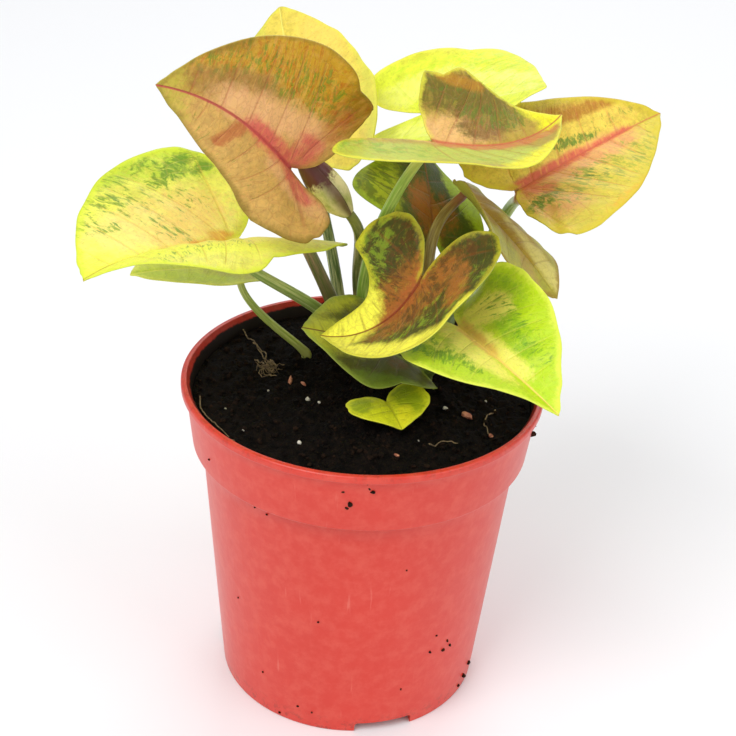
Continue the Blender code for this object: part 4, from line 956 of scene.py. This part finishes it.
def build_rolled_leaf():
    """Newest leaf: one thin sheet rolled nearly twice round itself, open at its tip."""
    axis = Vector(ROLL_AXIS).normalized()
    turn = Vector((0.0, 0.0, 1.0)).rotation_difference(axis).to_matrix()
    share = np.linspace(0.02, 1.0, ROLL_ROWS)[:, None]
    column = np.linspace(0.0, 1.0, ROLL_COLUMNS)[None, :]
    angle = 2 * math.pi * ROLL_TURNS * (column - 1.0) - 1.0
    inward = 1.0 - 0.42 * (1.0 - column)
    free_edge = 0.2 * soft_step(0.84, 1.0, column) * soft_step(0.1, 0.6, share)
    radius = roll_radius(share) * (inward * (1.0 + 0.06 * column * share) + free_edge)
    top_cut = 1.0 - 0.22 * (1.0 - column) ** 2 - 0.08 * np.sin(math.pi * column * 2)
    height = ROLL_LENGTH * share * np.where(share > 0.5, 1.0 - (1.0 - top_cut) * (share - 0.5) * 2, 1.0)
    grid = np.stack([radius * np.cos(angle), radius * np.sin(angle), height * np.ones_like(angle)], -1)
    grid = grid.reshape(-1, 3) @ np.array(turn).T + np.array(ROLL_BASE)
    centre = np.array(ROLL_BASE) + np.array(axis) * height.reshape(-1, 1)
    outward = grid - centre
    outward /= np.linalg.norm(outward, axis=1, keepdims=True)
    inner = grid - outward * ROLL_SHEET
    faces = []
    for row in range(ROLL_ROWS - 1):
        for here in range(row * ROLL_COLUMNS, (row + 1) * ROLL_COLUMNS - 1):
            faces.append((here, here + 1, here + ROLL_COLUMNS + 1, here + ROLL_COLUMNS))
    count = ROLL_ROWS * ROLL_COLUMNS
    inside = [tuple(count + corner for corner in reversed(face)) for face in faces]
    border = [*range(ROLL_COLUMNS), *range(2 * ROLL_COLUMNS - 1, count, ROLL_COLUMNS),
              *range(count - 2, count - ROLL_COLUMNS - 1, -1),
              *range(count - 2 * ROLL_COLUMNS, 0, -ROLL_COLUMNS)]
    edge = [(b, a, count + a, count + b) for a, b in zip(border, border[1:] + border[:1])]
    piece = add_piece("leaf_rolled", np.concatenate([grid, inner]), faces + inside + edge, rolled_look(),
                      ("rolled_leaf",))
    round_roll, far = [values.ravel() for values in np.broadcast_arrays(column, share)]
    way = np.stack([round_roll * 30.0, far * ROLL_LENGTH, np.zeros(count)], 1)
    add_to_both_faces(piece.data, flat=way, far=far)
    add_values(piece.data, "inner", np.concatenate([np.zeros(count), np.ones(count)]))
    add_to_both_faces(piece.data, lip=round_roll)
    top = np.array(ROLL_BASE) - np.array(axis) * FIT_GAP
    foot, radii, lean, rise, reach = ROLL_PETIOLE
    route = petiole_route(foot, lean, rise, top, np.array(axis), reach)
    route = np.concatenate([route, top + np.array(axis) * np.linspace(0.3, 1.2, 3)[:, None]])
    build_petiole("stalk_rolled", "petiole_rolled_leaf", route, radii, ROLLED_STALK, 31)


# Pot

def arc(centre, radius, start, end, steps=5):
    """Points of an arc in the pot's section."""
    turns = [math.radians(start + (end - start) * step / steps) for step in range(steps + 1)]
    return [(centre[0] + radius * math.cos(turn), centre[1] + radius * math.sin(turn)) for turn in turns]


def wall_radius(height):
    """Radius of the pot's outer wall at a height."""
    if height <= COLLAR_FOOT:
        part = height / COLLAR_FOOT
        return BODY_FOOT_RADIUS + part * (BODY_TOP_RADIUS - BODY_FOOT_RADIUS)
    part = (height - COLLAR_FOOT) / COLLAR_HEIGHT
    return COLLAR_FOOT_RADIUS + part * (COLLAR_TOP_RADIUS - COLLAR_FOOT_RADIUS)


def inner_radius(height):
    """Radius of the pot's inner wall at a height."""
    return wall_radius(height) - POT_WALL


def pot_profile():
    """Section of the pot: underside, foot, body, collar, lip, then down the inside."""
    foot_inside = BODY_FOOT_RADIUS - FOOT_RING_WIDTH
    points = [(0.0, FLOOR_UNDERSIDE), (foot_inside - EDGE_ROUND, FLOOR_UNDERSIDE)]
    points += [(foot_inside, FLOOR_UNDERSIDE - EDGE_ROUND), (foot_inside, 0.25), (foot_inside + 0.25, 0.0)]
    points += arc((BODY_FOOT_RADIUS - EDGE_ROUND, EDGE_ROUND), EDGE_ROUND, -90, 0)
    points += [(BODY_FOOT_RADIUS + (BODY_TOP_RADIUS - BODY_FOOT_RADIUS) * step / 12, COLLAR_FOOT * step / 12)
               for step in range(1, 12)]
    points += [(BODY_TOP_RADIUS - 0.03, COLLAR_FOOT - 0.35), (BODY_TOP_RADIUS + 0.12, COLLAR_FOOT - 0.08),
               (BODY_TOP_RADIUS + 0.4, COLLAR_FOOT)]
    points += arc((COLLAR_FOOT_RADIUS - COLLAR_ROUND, COLLAR_FOOT + COLLAR_ROUND), COLLAR_ROUND, -90, 0)
    points += [(COLLAR_FOOT_RADIUS + (COLLAR_TOP_RADIUS - COLLAR_FOOT_RADIUS) * step / 5,
                COLLAR_FOOT + EDGE_ROUND + (COLLAR_HEIGHT - LIP_HEIGHT - 2 * EDGE_ROUND) * step / 5)
               for step in range(1, 5)]
    points += [(COLLAR_TOP_RADIUS, LIP_FOOT - 0.45), (COLLAR_TOP_RADIUS + 0.15, LIP_FOOT - 0.12)]
    points += arc((RIM_RADIUS - LIP_ROUND, LIP_FOOT + 0.15), LIP_ROUND, -60, 0, 4)
    points += arc((RIM_RADIUS - RIM_ROUND, POT_HEIGHT - RIM_ROUND), RIM_ROUND, 0, 90, 6)
    points += arc((RIM_RADIUS - RIM_WIDTH + RIM_INNER_ROUND, POT_HEIGHT - RIM_INNER_ROUND), RIM_INNER_ROUND,
                  90, 180, 4)
    points += [(inner_radius(height), height) for height in (LIP_FOOT, STEP_TOP, COLLAR_FOOT, FLOOR_TOP)]
    return points + [(0.0, FLOOR_TOP)]


def turned(profile, sides):
    """Vertices and faces of a profile turned about Z, from one point on the axis to another."""
    angles = 2 * math.pi * np.arange(sides) / sides
    rows = [np.stack([radius * np.cos(angles), radius * np.sin(angles), np.full(sides, height)], 1)
            for radius, height in profile[1:-1]]
    vertices = np.concatenate([[(0.0, 0.0, profile[0][1])], *rows, [(0.0, 0.0, profile[-1][1])]])
    last = len(vertices) - 1
    faces = []
    for step in range(sides):
        after = (step + 1) % sides
        faces.append((0, 1 + after, 1 + step))
        faces.append((last, last - sides + step, last - sides + after))
        for low in range(1, last - sides, sides):
            faces.append((low + step, low + after, low + sides + after, low + sides + step))
    return vertices, faces


def pot_material():
    """Satin plastic: uneven tone, pale mottling and upright scuffs, stains at the foot and the rim, and
    soil smeared on the inside."""
    paint = Paint("pot_plastic", 0.33)
    place = paint.place()
    broad = paint.clouds(place, 28.0, 3.0, 0.5)
    mottled = paint.clouds(place, 420.0, 4.0, 0.65)
    tall = paint.clouds(paint.scaled(place, (900.0, 900.0, 45.0)), 1.0, 3.0, 0.6)
    base = linear(POT_COLOUR)
    colour = paint.blend(paint.step(broad, 0.3, 0.7), tuple(part * 0.93 for part in base), base)
    colour = paint.blend(paint.step(mottled, 0.35, 0.75, 0.0, 0.22), colour, linear((238, 122, 100)))
    scuffs = paint.step(tall, 0.66, 0.76, 0.0, 0.16)
    colour = paint.blend(scuffs, colour, linear((245, 170, 150)))
    specks = paint.step(paint.clouds(place, 900.0, 4.0, 0.7), 0.5, 0.62)
    stain = paint.calc("MULTIPLY", paint.values("stain"), specks)
    colour = paint.blend(stain, colour, linear((110, 42, 30)))
    smeared = paint.calc("SUBTRACT", paint.clouds(place, 520.0, 5.0, 0.7), 0.5)
    smeared = paint.calc("MULTIPLY_ADD", smeared, 0.9, paint.values("soil"))
    colour = paint.blend(paint.step(smeared, 0.5, 0.8), colour, linear((30, 22, 17)))
    paint.relief(paint.calc("MULTIPLY_ADD", tall, 0.4, mottled), 0.00005)
    return paint.finish(colour, paint.step(broad, 0.3, 0.7, 0.29, 0.38))


def pot_cutters():
    """Rounded blocks for the slots in the foot ring and rods for the holes in the floor."""
    cutters = bmesh.new()
    reach = BODY_FOOT_RADIUS - FOOT_RING_WIDTH / 2
    for slot in range(FOOT_SLOTS):
        angle = math.radians(FRONT_SLOT_ANGLE + 360.0 * slot / FOOT_SLOTS)
        size = Matrix.Diagonal((4 * MM, FOOT_SLOT_WIDTH * MM, 2 * FOOT_SLOT_HEIGHT * MM, 1.0))
        centre = Vector((reach * math.cos(angle), reach * math.sin(angle), 0.0)) + Vector(AXIS)
        place = Matrix.Translation(centre * MM) @ Matrix.Rotation(angle, 4, "Z") @ size
        box = bmesh.ops.create_cube(cutters, size=1.0, matrix=place)
        edges = {edge for vertex in box["verts"] for edge in vertex.link_edges}
        bmesh.ops.bevel(cutters, geom=list(edges), offset=0.5 * MM, segments=3, affect="EDGES", profile=0.5)
    for hole in range(DRAIN_HOLES):
        angle = 2 * math.pi * (hole + 0.5) / DRAIN_HOLES
        centre = Vector((DRAIN_RING_RADIUS * math.cos(angle), DRAIN_RING_RADIUS * math.sin(angle), 3.0))
        place = Matrix.Translation((centre + Vector(AXIS)) * MM)
        bmesh.ops.create_cone(cutters, cap_ends=True, segments=32, radius1=DRAIN_HOLE_RADIUS * MM,
                              radius2=DRAIN_HOLE_RADIUS * MM, depth=6 * MM, matrix=place)
    mesh = bpy.data.meshes.new("pot_cutters")
    cutters.to_mesh(mesh)
    cutters.free()
    cutter = bpy.data.objects.new("pot_cutters", mesh)
    bpy.context.scene.collection.objects.link(cutter)
    return cutter


def build_pot():
    """Pot with slots in its foot ring and holes in its floor."""
    vertices, faces = turned(pot_profile(), POT_SIDES)
    pot = add_piece("pot_shell", vertices, faces, pot_material(), ("pot",))
    cutter = pot_cutters()
    cut = pot.modifiers.new("cut", "BOOLEAN")
    cut.operation = "DIFFERENCE"
    cut.solver = "EXACT"
    cut.object = cutter
    graph = bpy.context.evaluated_depsgraph_get()
    carved = bpy.data.meshes.new_from_object(pot.evaluated_get(graph))
    pot.modifiers.clear()
    bpy.data.objects.remove(cutter)
    pot.data = carved
    carved.shade_smooth()
    carved.set_sharp_from_angle(angle=math.radians(38))
    spots = np.array([vertex.co for vertex in carved.vertices]) / MM - AXIS
    foot = soft_step(4.0, 0.3, spots[:, 2])
    rim = soft_step(POT_HEIGHT - 1.6, POT_HEIGHT, spots[:, 2])
    add_values(carved, "stain", 0.5 * foot + 0.25 * rim)
    wall_inside = np.array([inner_radius(height) for height in spots[:, 2]])
    inside = np.hypot(spots[:, 0], spots[:, 1]) < wall_inside + 0.3
    below_rim = soft_step(POT_HEIGHT - 0.1, POT_HEIGHT - 1.2, spots[:, 2])
    add_values(carved, "soil", inside * (below_rim * (spots[:, 2] > POT_HEIGHT / 2)))


# Peat

def peat_height(x, y, edge_radius):
    """Uneven top of the peat, as its solid has it."""
    share = np.minimum(1.0, np.hypot(x, y) / edge_radius)
    ripple = np.sin(0.55 * x + 1.3) * np.cos(0.62 * y - 0.4) + 0.6 * np.sin(0.31 * (x + y) + 0.8)
    return PEAT_TOP + PEAT_CROWN * (1.0 - share ** 2) + PEAT_RIPPLE * ripple * (1.0 - share ** 6)


def crumbly(x, y):
    """Clods and pits on top of the peat."""
    spot = Vector((x, y, 3.1))
    clod = noise.noise(spot * 0.42) * 0.55 + noise.noise(spot * 0.95) * 0.5
    lump = 0.5 - min(0.5, noise.voronoi(spot * 0.55)[0][0])
    grit = noise.noise(spot * 2.3) * 0.35 + noise.noise(spot * 4.6) * 0.16
    return clod + lump + grit


def surface_height(x, y):
    """Crumbly top of the peat."""
    edge_radius = inner_radius(PEAT_EDGE) - PEAT_WALL_GAP
    rim = 1.0 - (math.hypot(x, y) / edge_radius) ** 8
    return float(peat_height(x, y, edge_radius)) - PEAT_SINK + crumbly(x, y) * (0.35 + 0.65 * rim)


def peat_material(name, base, light):
    """Dark fibrous peat, damp in places."""
    base, light = linear(base), linear(light)
    paint = Paint(name, 0.85, Specular_IOR_Level=0.08)
    place = paint.place()
    coarse = paint.clouds(place, 700.0, 5.0, 0.7)
    fine = paint.clouds(place, 3200.0, 4.0, 0.7)
    colour = paint.blend(paint.step(coarse, 0.38, 0.72), base, light)
    colour = paint.blend(paint.step(fine, 0.64, 0.76, 0.0, 0.4), colour, linear((96, 62, 40)))
    paint.relief(paint.calc("ADD", coarse, fine), 0.0004)
    return paint.finish(colour, paint.step(coarse, 0.3, 0.7, 0.55, 0.95))


def build_peat():
    """Peat with a crumbly top; below the top it follows the inside of the pot."""
    heights = (FLOOR_TOP + PEAT_WALL_GAP, COLLAR_FOOT, STEP_TOP, PEAT_EDGE)
    side = [(inner_radius(height) - PEAT_WALL_GAP, height) for height in heights]
    edge_radius = side[-1][0]
    rings = int(edge_radius / PEAT_RING_STEP)
    top = [(edge_radius * ring / rings, PEAT_TOP) for ring in range(rings, -1, -1)]
    vertices, faces = turned([(0.0, side[0][1])] + side + top, PEAT_SPOKES)
    for vertex in vertices:
        if vertex[2] > PEAT_TOP - 0.3:
            vertex[2] = surface_height(vertex[0], vertex[1])
    material = peat_material("peat_top", (9, 7, 6), (34, 26, 21))
    add_piece("peat_bed", vertices, faces, material, ("peat",))


def lump_mesh(centre, size, stretch, seed, rounds):
    """One irregular grain: a small ball with uneven sides."""
    ball = bmesh.new()
    bmesh.ops.create_icosphere(ball, subdivisions=rounds, radius=1.0)
    generator = random.Random(seed)
    angle = generator.uniform(0, 6.28)
    axis = Vector((generator.random(), generator.random(), 1.0))
    turn = Matrix.Rotation(angle, 3, axis)
    points = []
    for vertex in ball.verts:
        swell = 1.0 + 0.45 * noise.noise(vertex.co * 1.3 + Vector((seed * 1.7, 0.0, seed * 0.9)))
        point = vertex.co
        local = Vector((point.x * stretch[0], point.y * stretch[1], point.z * stretch[2])) * swell * size
        points.append(np.array(turn @ local) + centre)
    faces = [tuple(vertex.index for vertex in face.verts) for face in ball.faces]
    ball.free()
    return points, faces


def add_bits(name, parts, material, smooth=True):
    """One piece of peat from many (points, faces)."""
    vertices, faces = [], []
    for points, some_faces in parts:
        start = len(vertices)
        vertices += list(points)
        faces += [tuple(start + corner for corner in face) for face in some_faces]
    add_piece(name, vertices, faces, material, (), smooth)


def lump_on_peat(x, y, size, stretch, seed, rounds=2):
    """One grain that lies on the peat."""
    centre = np.array([x, y, surface_height(x, y) + size * 0.3])
    return lump_mesh(centre, size, stretch, seed, rounds)


def build_crumbs():
    """Loose crumbs that lie on the peat."""
    generator = random.Random(11)
    parts = []
    for index in range(CRUMBS):
        angle, radius = generator.uniform(0, 2 * math.pi), CRUMB_SPREAD * math.sqrt(generator.random())
        x, y = radius * math.cos(angle), radius * math.sin(angle)
        size = 0.16 + 0.5 * generator.random() ** 3
        stretch = (1.0, generator.uniform(0.5, 1.0), generator.uniform(0.4, 0.9))
        parts.append(lump_on_peat(x, y, size, stretch, index + 5, 1))
    add_bits("peat_crumbs", parts, peat_material("peat_crumb", (14, 10, 8), (54, 38, 28)), smooth=False)


# Crumbs that stick to the pot's outside: degrees round the axis, height, size.
WALL_CRUMBS = (
    (-93.8, 53.5, 0.3), (-91.5, 51.3, 0.55), (-92.4, 50.4, 0.35), (-86.6, 55.4, 0.35), (-84.9, 53.8, 0.5),
    (-86.0, 54.4, 0.3), (-126.7, 44.5, 0.28), (-121.6, 44.0, 0.24), (-101.4, 24.6, 0.26), (-47.2, 14.9, 0.42),
    (-43.3, 15.1, 0.36), (-54.5, 15.9, 0.3), (-52.3, 19.2, 0.24), (-45.5, 16.6, 0.3), (-24.0, 2.6, 0.62),
    (-20.0, 4.4, 0.5), (-28.0, 1.4, 0.4), (-127.2, 8.6, 0.24), (-119.0, 0.9, 0.3), (-109.9, 4.1, 0.26),
    (-103.5, 3.5, 0.24), (-11.1, 51.4, 0.75), (-9.0, 52.6, 0.5), (-167.3, 56.2, 0.4), (-146.0, 49.4, 0.26),
    (-70.0, 36.0, 0.2), (-66.0, 9.0, 0.24), (-140.0, 22.0, 0.2), (35.0, 49.6, 0.4), (120.0, 18.0, 0.35),
)
# Things on the peat: x, y, size, stretch.
BARK_CHIPS = (
    (17.3, -6.7, 1.0, (1.0, 0.6, 0.5)), (-12.1, 1.1, 0.7, (1.4, 0.5, 0.4)),
    (-9.8, -0.6, 0.5, (1.2, 0.6, 0.5)), (21.0, -12.0, 0.5, (1.0, 0.7, 0.5)),
    (6.0, -19.0, 0.45, (1.2, 0.6, 0.5)),
)
GRAIN_STRETCH = (1.0, 0.8, 0.7)
PERLITE = (
    (13.8, -4.9, 0.45, GRAIN_STRETCH), (-8.8, -4.3, 0.5, (1.0, 0.9, 0.7)), (-6.9, -5.6, 0.3, GRAIN_STRETCH),
    (-9.3, -18.1, 0.4, GRAIN_STRETCH), (-18.4, -14.7, 0.3, GRAIN_STRETCH), (-15.4, -3.1, 0.25, GRAIN_STRETCH),
    (9.5, -14.5, 0.24, GRAIN_STRETCH), (-22.0, -8.0, 0.24, GRAIN_STRETCH), (20.5, -1.5, 0.3, GRAIN_STRETCH),
)
# Root fibres on the peat: points they pass over.
FIBRES = (
    ((-22.5, 20.0), (-20.5, 15.5), (-18.2, 11.4), (-16.6, 7.0), (-14.2, 3.6)),
    ((-19.4, 13.0), (-17.0, 10.4), (-16.6, 7.4), (-13.4, 5.6)),
    ((-18.6, 7.4), (-16.8, 5.2), (-17.4, 2.4), (-14.4, 1.6)),
    ((-16.0, 8.2), (-14.8, 5.4), (-15.6, 3.0)),
    ((-26.4, -5.4), (-25.6, -9.6), (-23.1, -13.4), (-19.4, -18.4)),
    ((11.0, -17.0), (13.0, -15.2), (15.6, -15.6)),
    ((22.0, -4.0), (20.0, -8.4), (20.6, -11.6)),
)
FIBRE_RADIUS = 0.13
MOSS_TUFT = (-16.2, 4.6)
MOSS_STRANDS = 26
STRAND_RADIUS = 0.07


def build_wall_crumbs():
    """Specks of peat on the pot's wall and rim."""
    parts = []
    for index, (angle, height, size) in enumerate(WALL_CRUMBS):
        turn = math.radians(angle)
        reach = wall_radius(height) + size * 0.15
        centre = np.array([reach * math.cos(turn), reach * math.sin(turn), max(height, size * 0.7)])
        parts.append(lump_mesh(centre, size, (1.0, 0.75, 0.6), index + 70, 2))
    add_bits("pot_crumbs", parts, peat_material("pot_crumb", (30, 20, 14), (84, 52, 34)))


def speckled(name, base, light, roughness):
    """Plain material with a soft change of tone."""
    paint = Paint(name, roughness)
    tone = paint.clouds(paint.place(), 1400.0, 4.0, 0.65)
    paint.relief(tone, 0.0002)
    return paint.finish(paint.blend(paint.step(tone, 0.35, 0.65), linear(base), linear(light)))


def fibre(row, radius, seed):
    """Thin root that lies on the peat and arches a little off it."""
    points = [np.array(point) for point in row]
    flat = smooth_outline(points, 8) + [points[-1]]
    route = []
    for step, (x, y) in enumerate(flat):
        arch = 0.45 * abs(math.sin(step * 0.4 + seed))
        route.append((x, y, surface_height(x, y) + 0.1 + arch))
    return tube(np.array(route), np.linspace(radius, radius * 0.5, len(route)), 6, facing=(0.0, 0.0, 1.0))


def build_peat_bits():
    """Bark chips, white grains, root fibres and a tuft of moss on the peat."""
    for name, rows, base, light in (
            ("bark_chips", BARK_CHIPS, (150, 84, 62), (214, 146, 112)),
            ("white_grains", PERLITE, (176, 168, 150), (226, 220, 206))):
        parts = [lump_on_peat(*row, index + 130) for index, row in enumerate(rows)]
        add_bits(name, parts, speckled(name, base, light, 0.7))
    parts = [fibre(row, FIBRE_RADIUS, index) for index, row in enumerate(FIBRES)]
    generator = random.Random(5)
    x, y = MOSS_TUFT
    for index in range(MOSS_STRANDS):
        angle = generator.uniform(0, 2 * math.pi)
        length = generator.uniform(1.0, 2.6)
        middle = (x + 0.5 * length * math.cos(angle) + generator.uniform(-0.6, 0.6),
                  y + 0.5 * length * math.sin(angle) + generator.uniform(-0.6, 0.6))
        end = (x + length * math.cos(angle + 0.5), y + length * math.sin(angle + 0.5))
        parts.append(fibre((MOSS_TUFT, middle, end), STRAND_RADIUS, index + 20))
    add_bits("root_fibres", parts, speckled("root_fibre", (96, 78, 56), (158, 134, 98), 0.8))


# Scene

# The focal length is given as a share of the picture's width.
CAMERA_TARGET = np.array([0.73, 0.0, 58.8])
CAMERA_DISTANCE = 264.0
CAMERA_ELEVATION = 29.7
CAMERA_ROLL = 3.4
FOCAL_SHARE = 1600 / 736
SENSOR_WIDTH = 36.0
# Lamps, in metres and watts: name, size, power, place.
LAMPS = (
    ("key", 0.5, 4.2, (-0.35, -0.45, 0.75)), ("fill", 0.6, 1.6, (0.6, -0.35, 0.5)),
    ("back", 0.5, 1.4, (0.1, 0.6, 0.6)),
)
LAMP_AIM = (0.0, 0.0, 0.05)
WORLD_STRENGTH = 0.6
# Half the width of the floor, in metres.
FLOOR_REACH = 4.0
FLOOR_COLOUR = (0.92, 0.93, 0.95, 1.0)


def make_camera():
    """Camera at the photograph's viewpoint."""
    elevation, roll = math.radians(CAMERA_ELEVATION), math.radians(CAMERA_ROLL)
    back = np.array([0.0, -math.cos(elevation), math.sin(elevation)])
    right = np.array([1.0, 0.0, 0.0])
    up = np.cross(back, right)
    turned_right = right * math.cos(roll) + up * math.sin(roll)
    turned_up = -right * math.sin(roll) + up * math.cos(roll)
    data = bpy.data.cameras.new("camera")
    data.sensor_width = SENSOR_WIDTH
    data.lens = SENSOR_WIDTH * FOCAL_SHARE
    data.clip_start = 0.01
    data.clip_end = 20.0
    camera = bpy.data.objects.new("camera", data)
    spot = (CAMERA_TARGET + back * CAMERA_DISTANCE + AXIS) * MM
    rows = np.stack([turned_right, turned_up, back, spot], 1)
    camera.matrix_world = Matrix((*rows.tolist(), (0.0, 0.0, 0.0, 1.0)))
    bpy.context.scene.collection.objects.link(camera)
    bpy.context.scene.camera = camera


def make_light(name, size, power, spot):
    """A soft square light that faces the plant."""
    data = bpy.data.lights.new(name, "AREA")
    data.shape = "SQUARE"
    data.size = size
    data.energy = power
    lamp = bpy.data.objects.new(name, data)
    lamp.location = spot
    lamp.rotation_mode = "QUATERNION"
    lamp.rotation_quaternion = (Vector(LAMP_AIM) - Vector(spot)).to_track_quat("-Z", "Y")
    bpy.context.scene.collection.objects.link(lamp)


def make_floor():
    """Plain pale floor."""
    mesh = bpy.data.meshes.new("floor")
    corners = [(-1, -1, 0), (1, -1, 0), (1, 1, 0), (-1, 1, 0)]
    mesh.from_pydata([Vector(corner) * FLOOR_REACH for corner in corners], [], [(0, 1, 2, 3)])
    material = bpy.data.materials.new("floor")
    material.use_nodes = True
    shader = material.node_tree.nodes["Principled BSDF"]
    shader.inputs["Base Color"].default_value = FLOOR_COLOUR
    shader.inputs["Roughness"].default_value = 0.6
    mesh.materials.append(material)
    floor = bpy.data.objects.new("floor", mesh)
    bpy.context.scene.collection.objects.link(floor)


def make_studio():
    """White surroundings and soft lamps."""
    world = bpy.data.worlds.new("studio")
    world.use_nodes = True
    background = world.node_tree.nodes["Background"]
    background.inputs["Color"].default_value = (1.0, 1.0, 1.0, 1.0)
    background.inputs["Strength"].default_value = WORLD_STRENGTH
    bpy.context.scene.world = world
    for lamp in LAMPS:
        make_light(*lamp)
    bpy.context.scene.view_settings.view_transform = "Standard"


make_camera()
make_floor()
make_studio()
build_pot()
build_peat()
build_crumbs()
build_peat_bits()
build_wall_crumbs()
for place, each_leaf in enumerate(LEAVES):
    build_blade(each_leaf, place + 1)
    leaf_petiole(each_leaf, place + 1)
build_rolled_leaf()
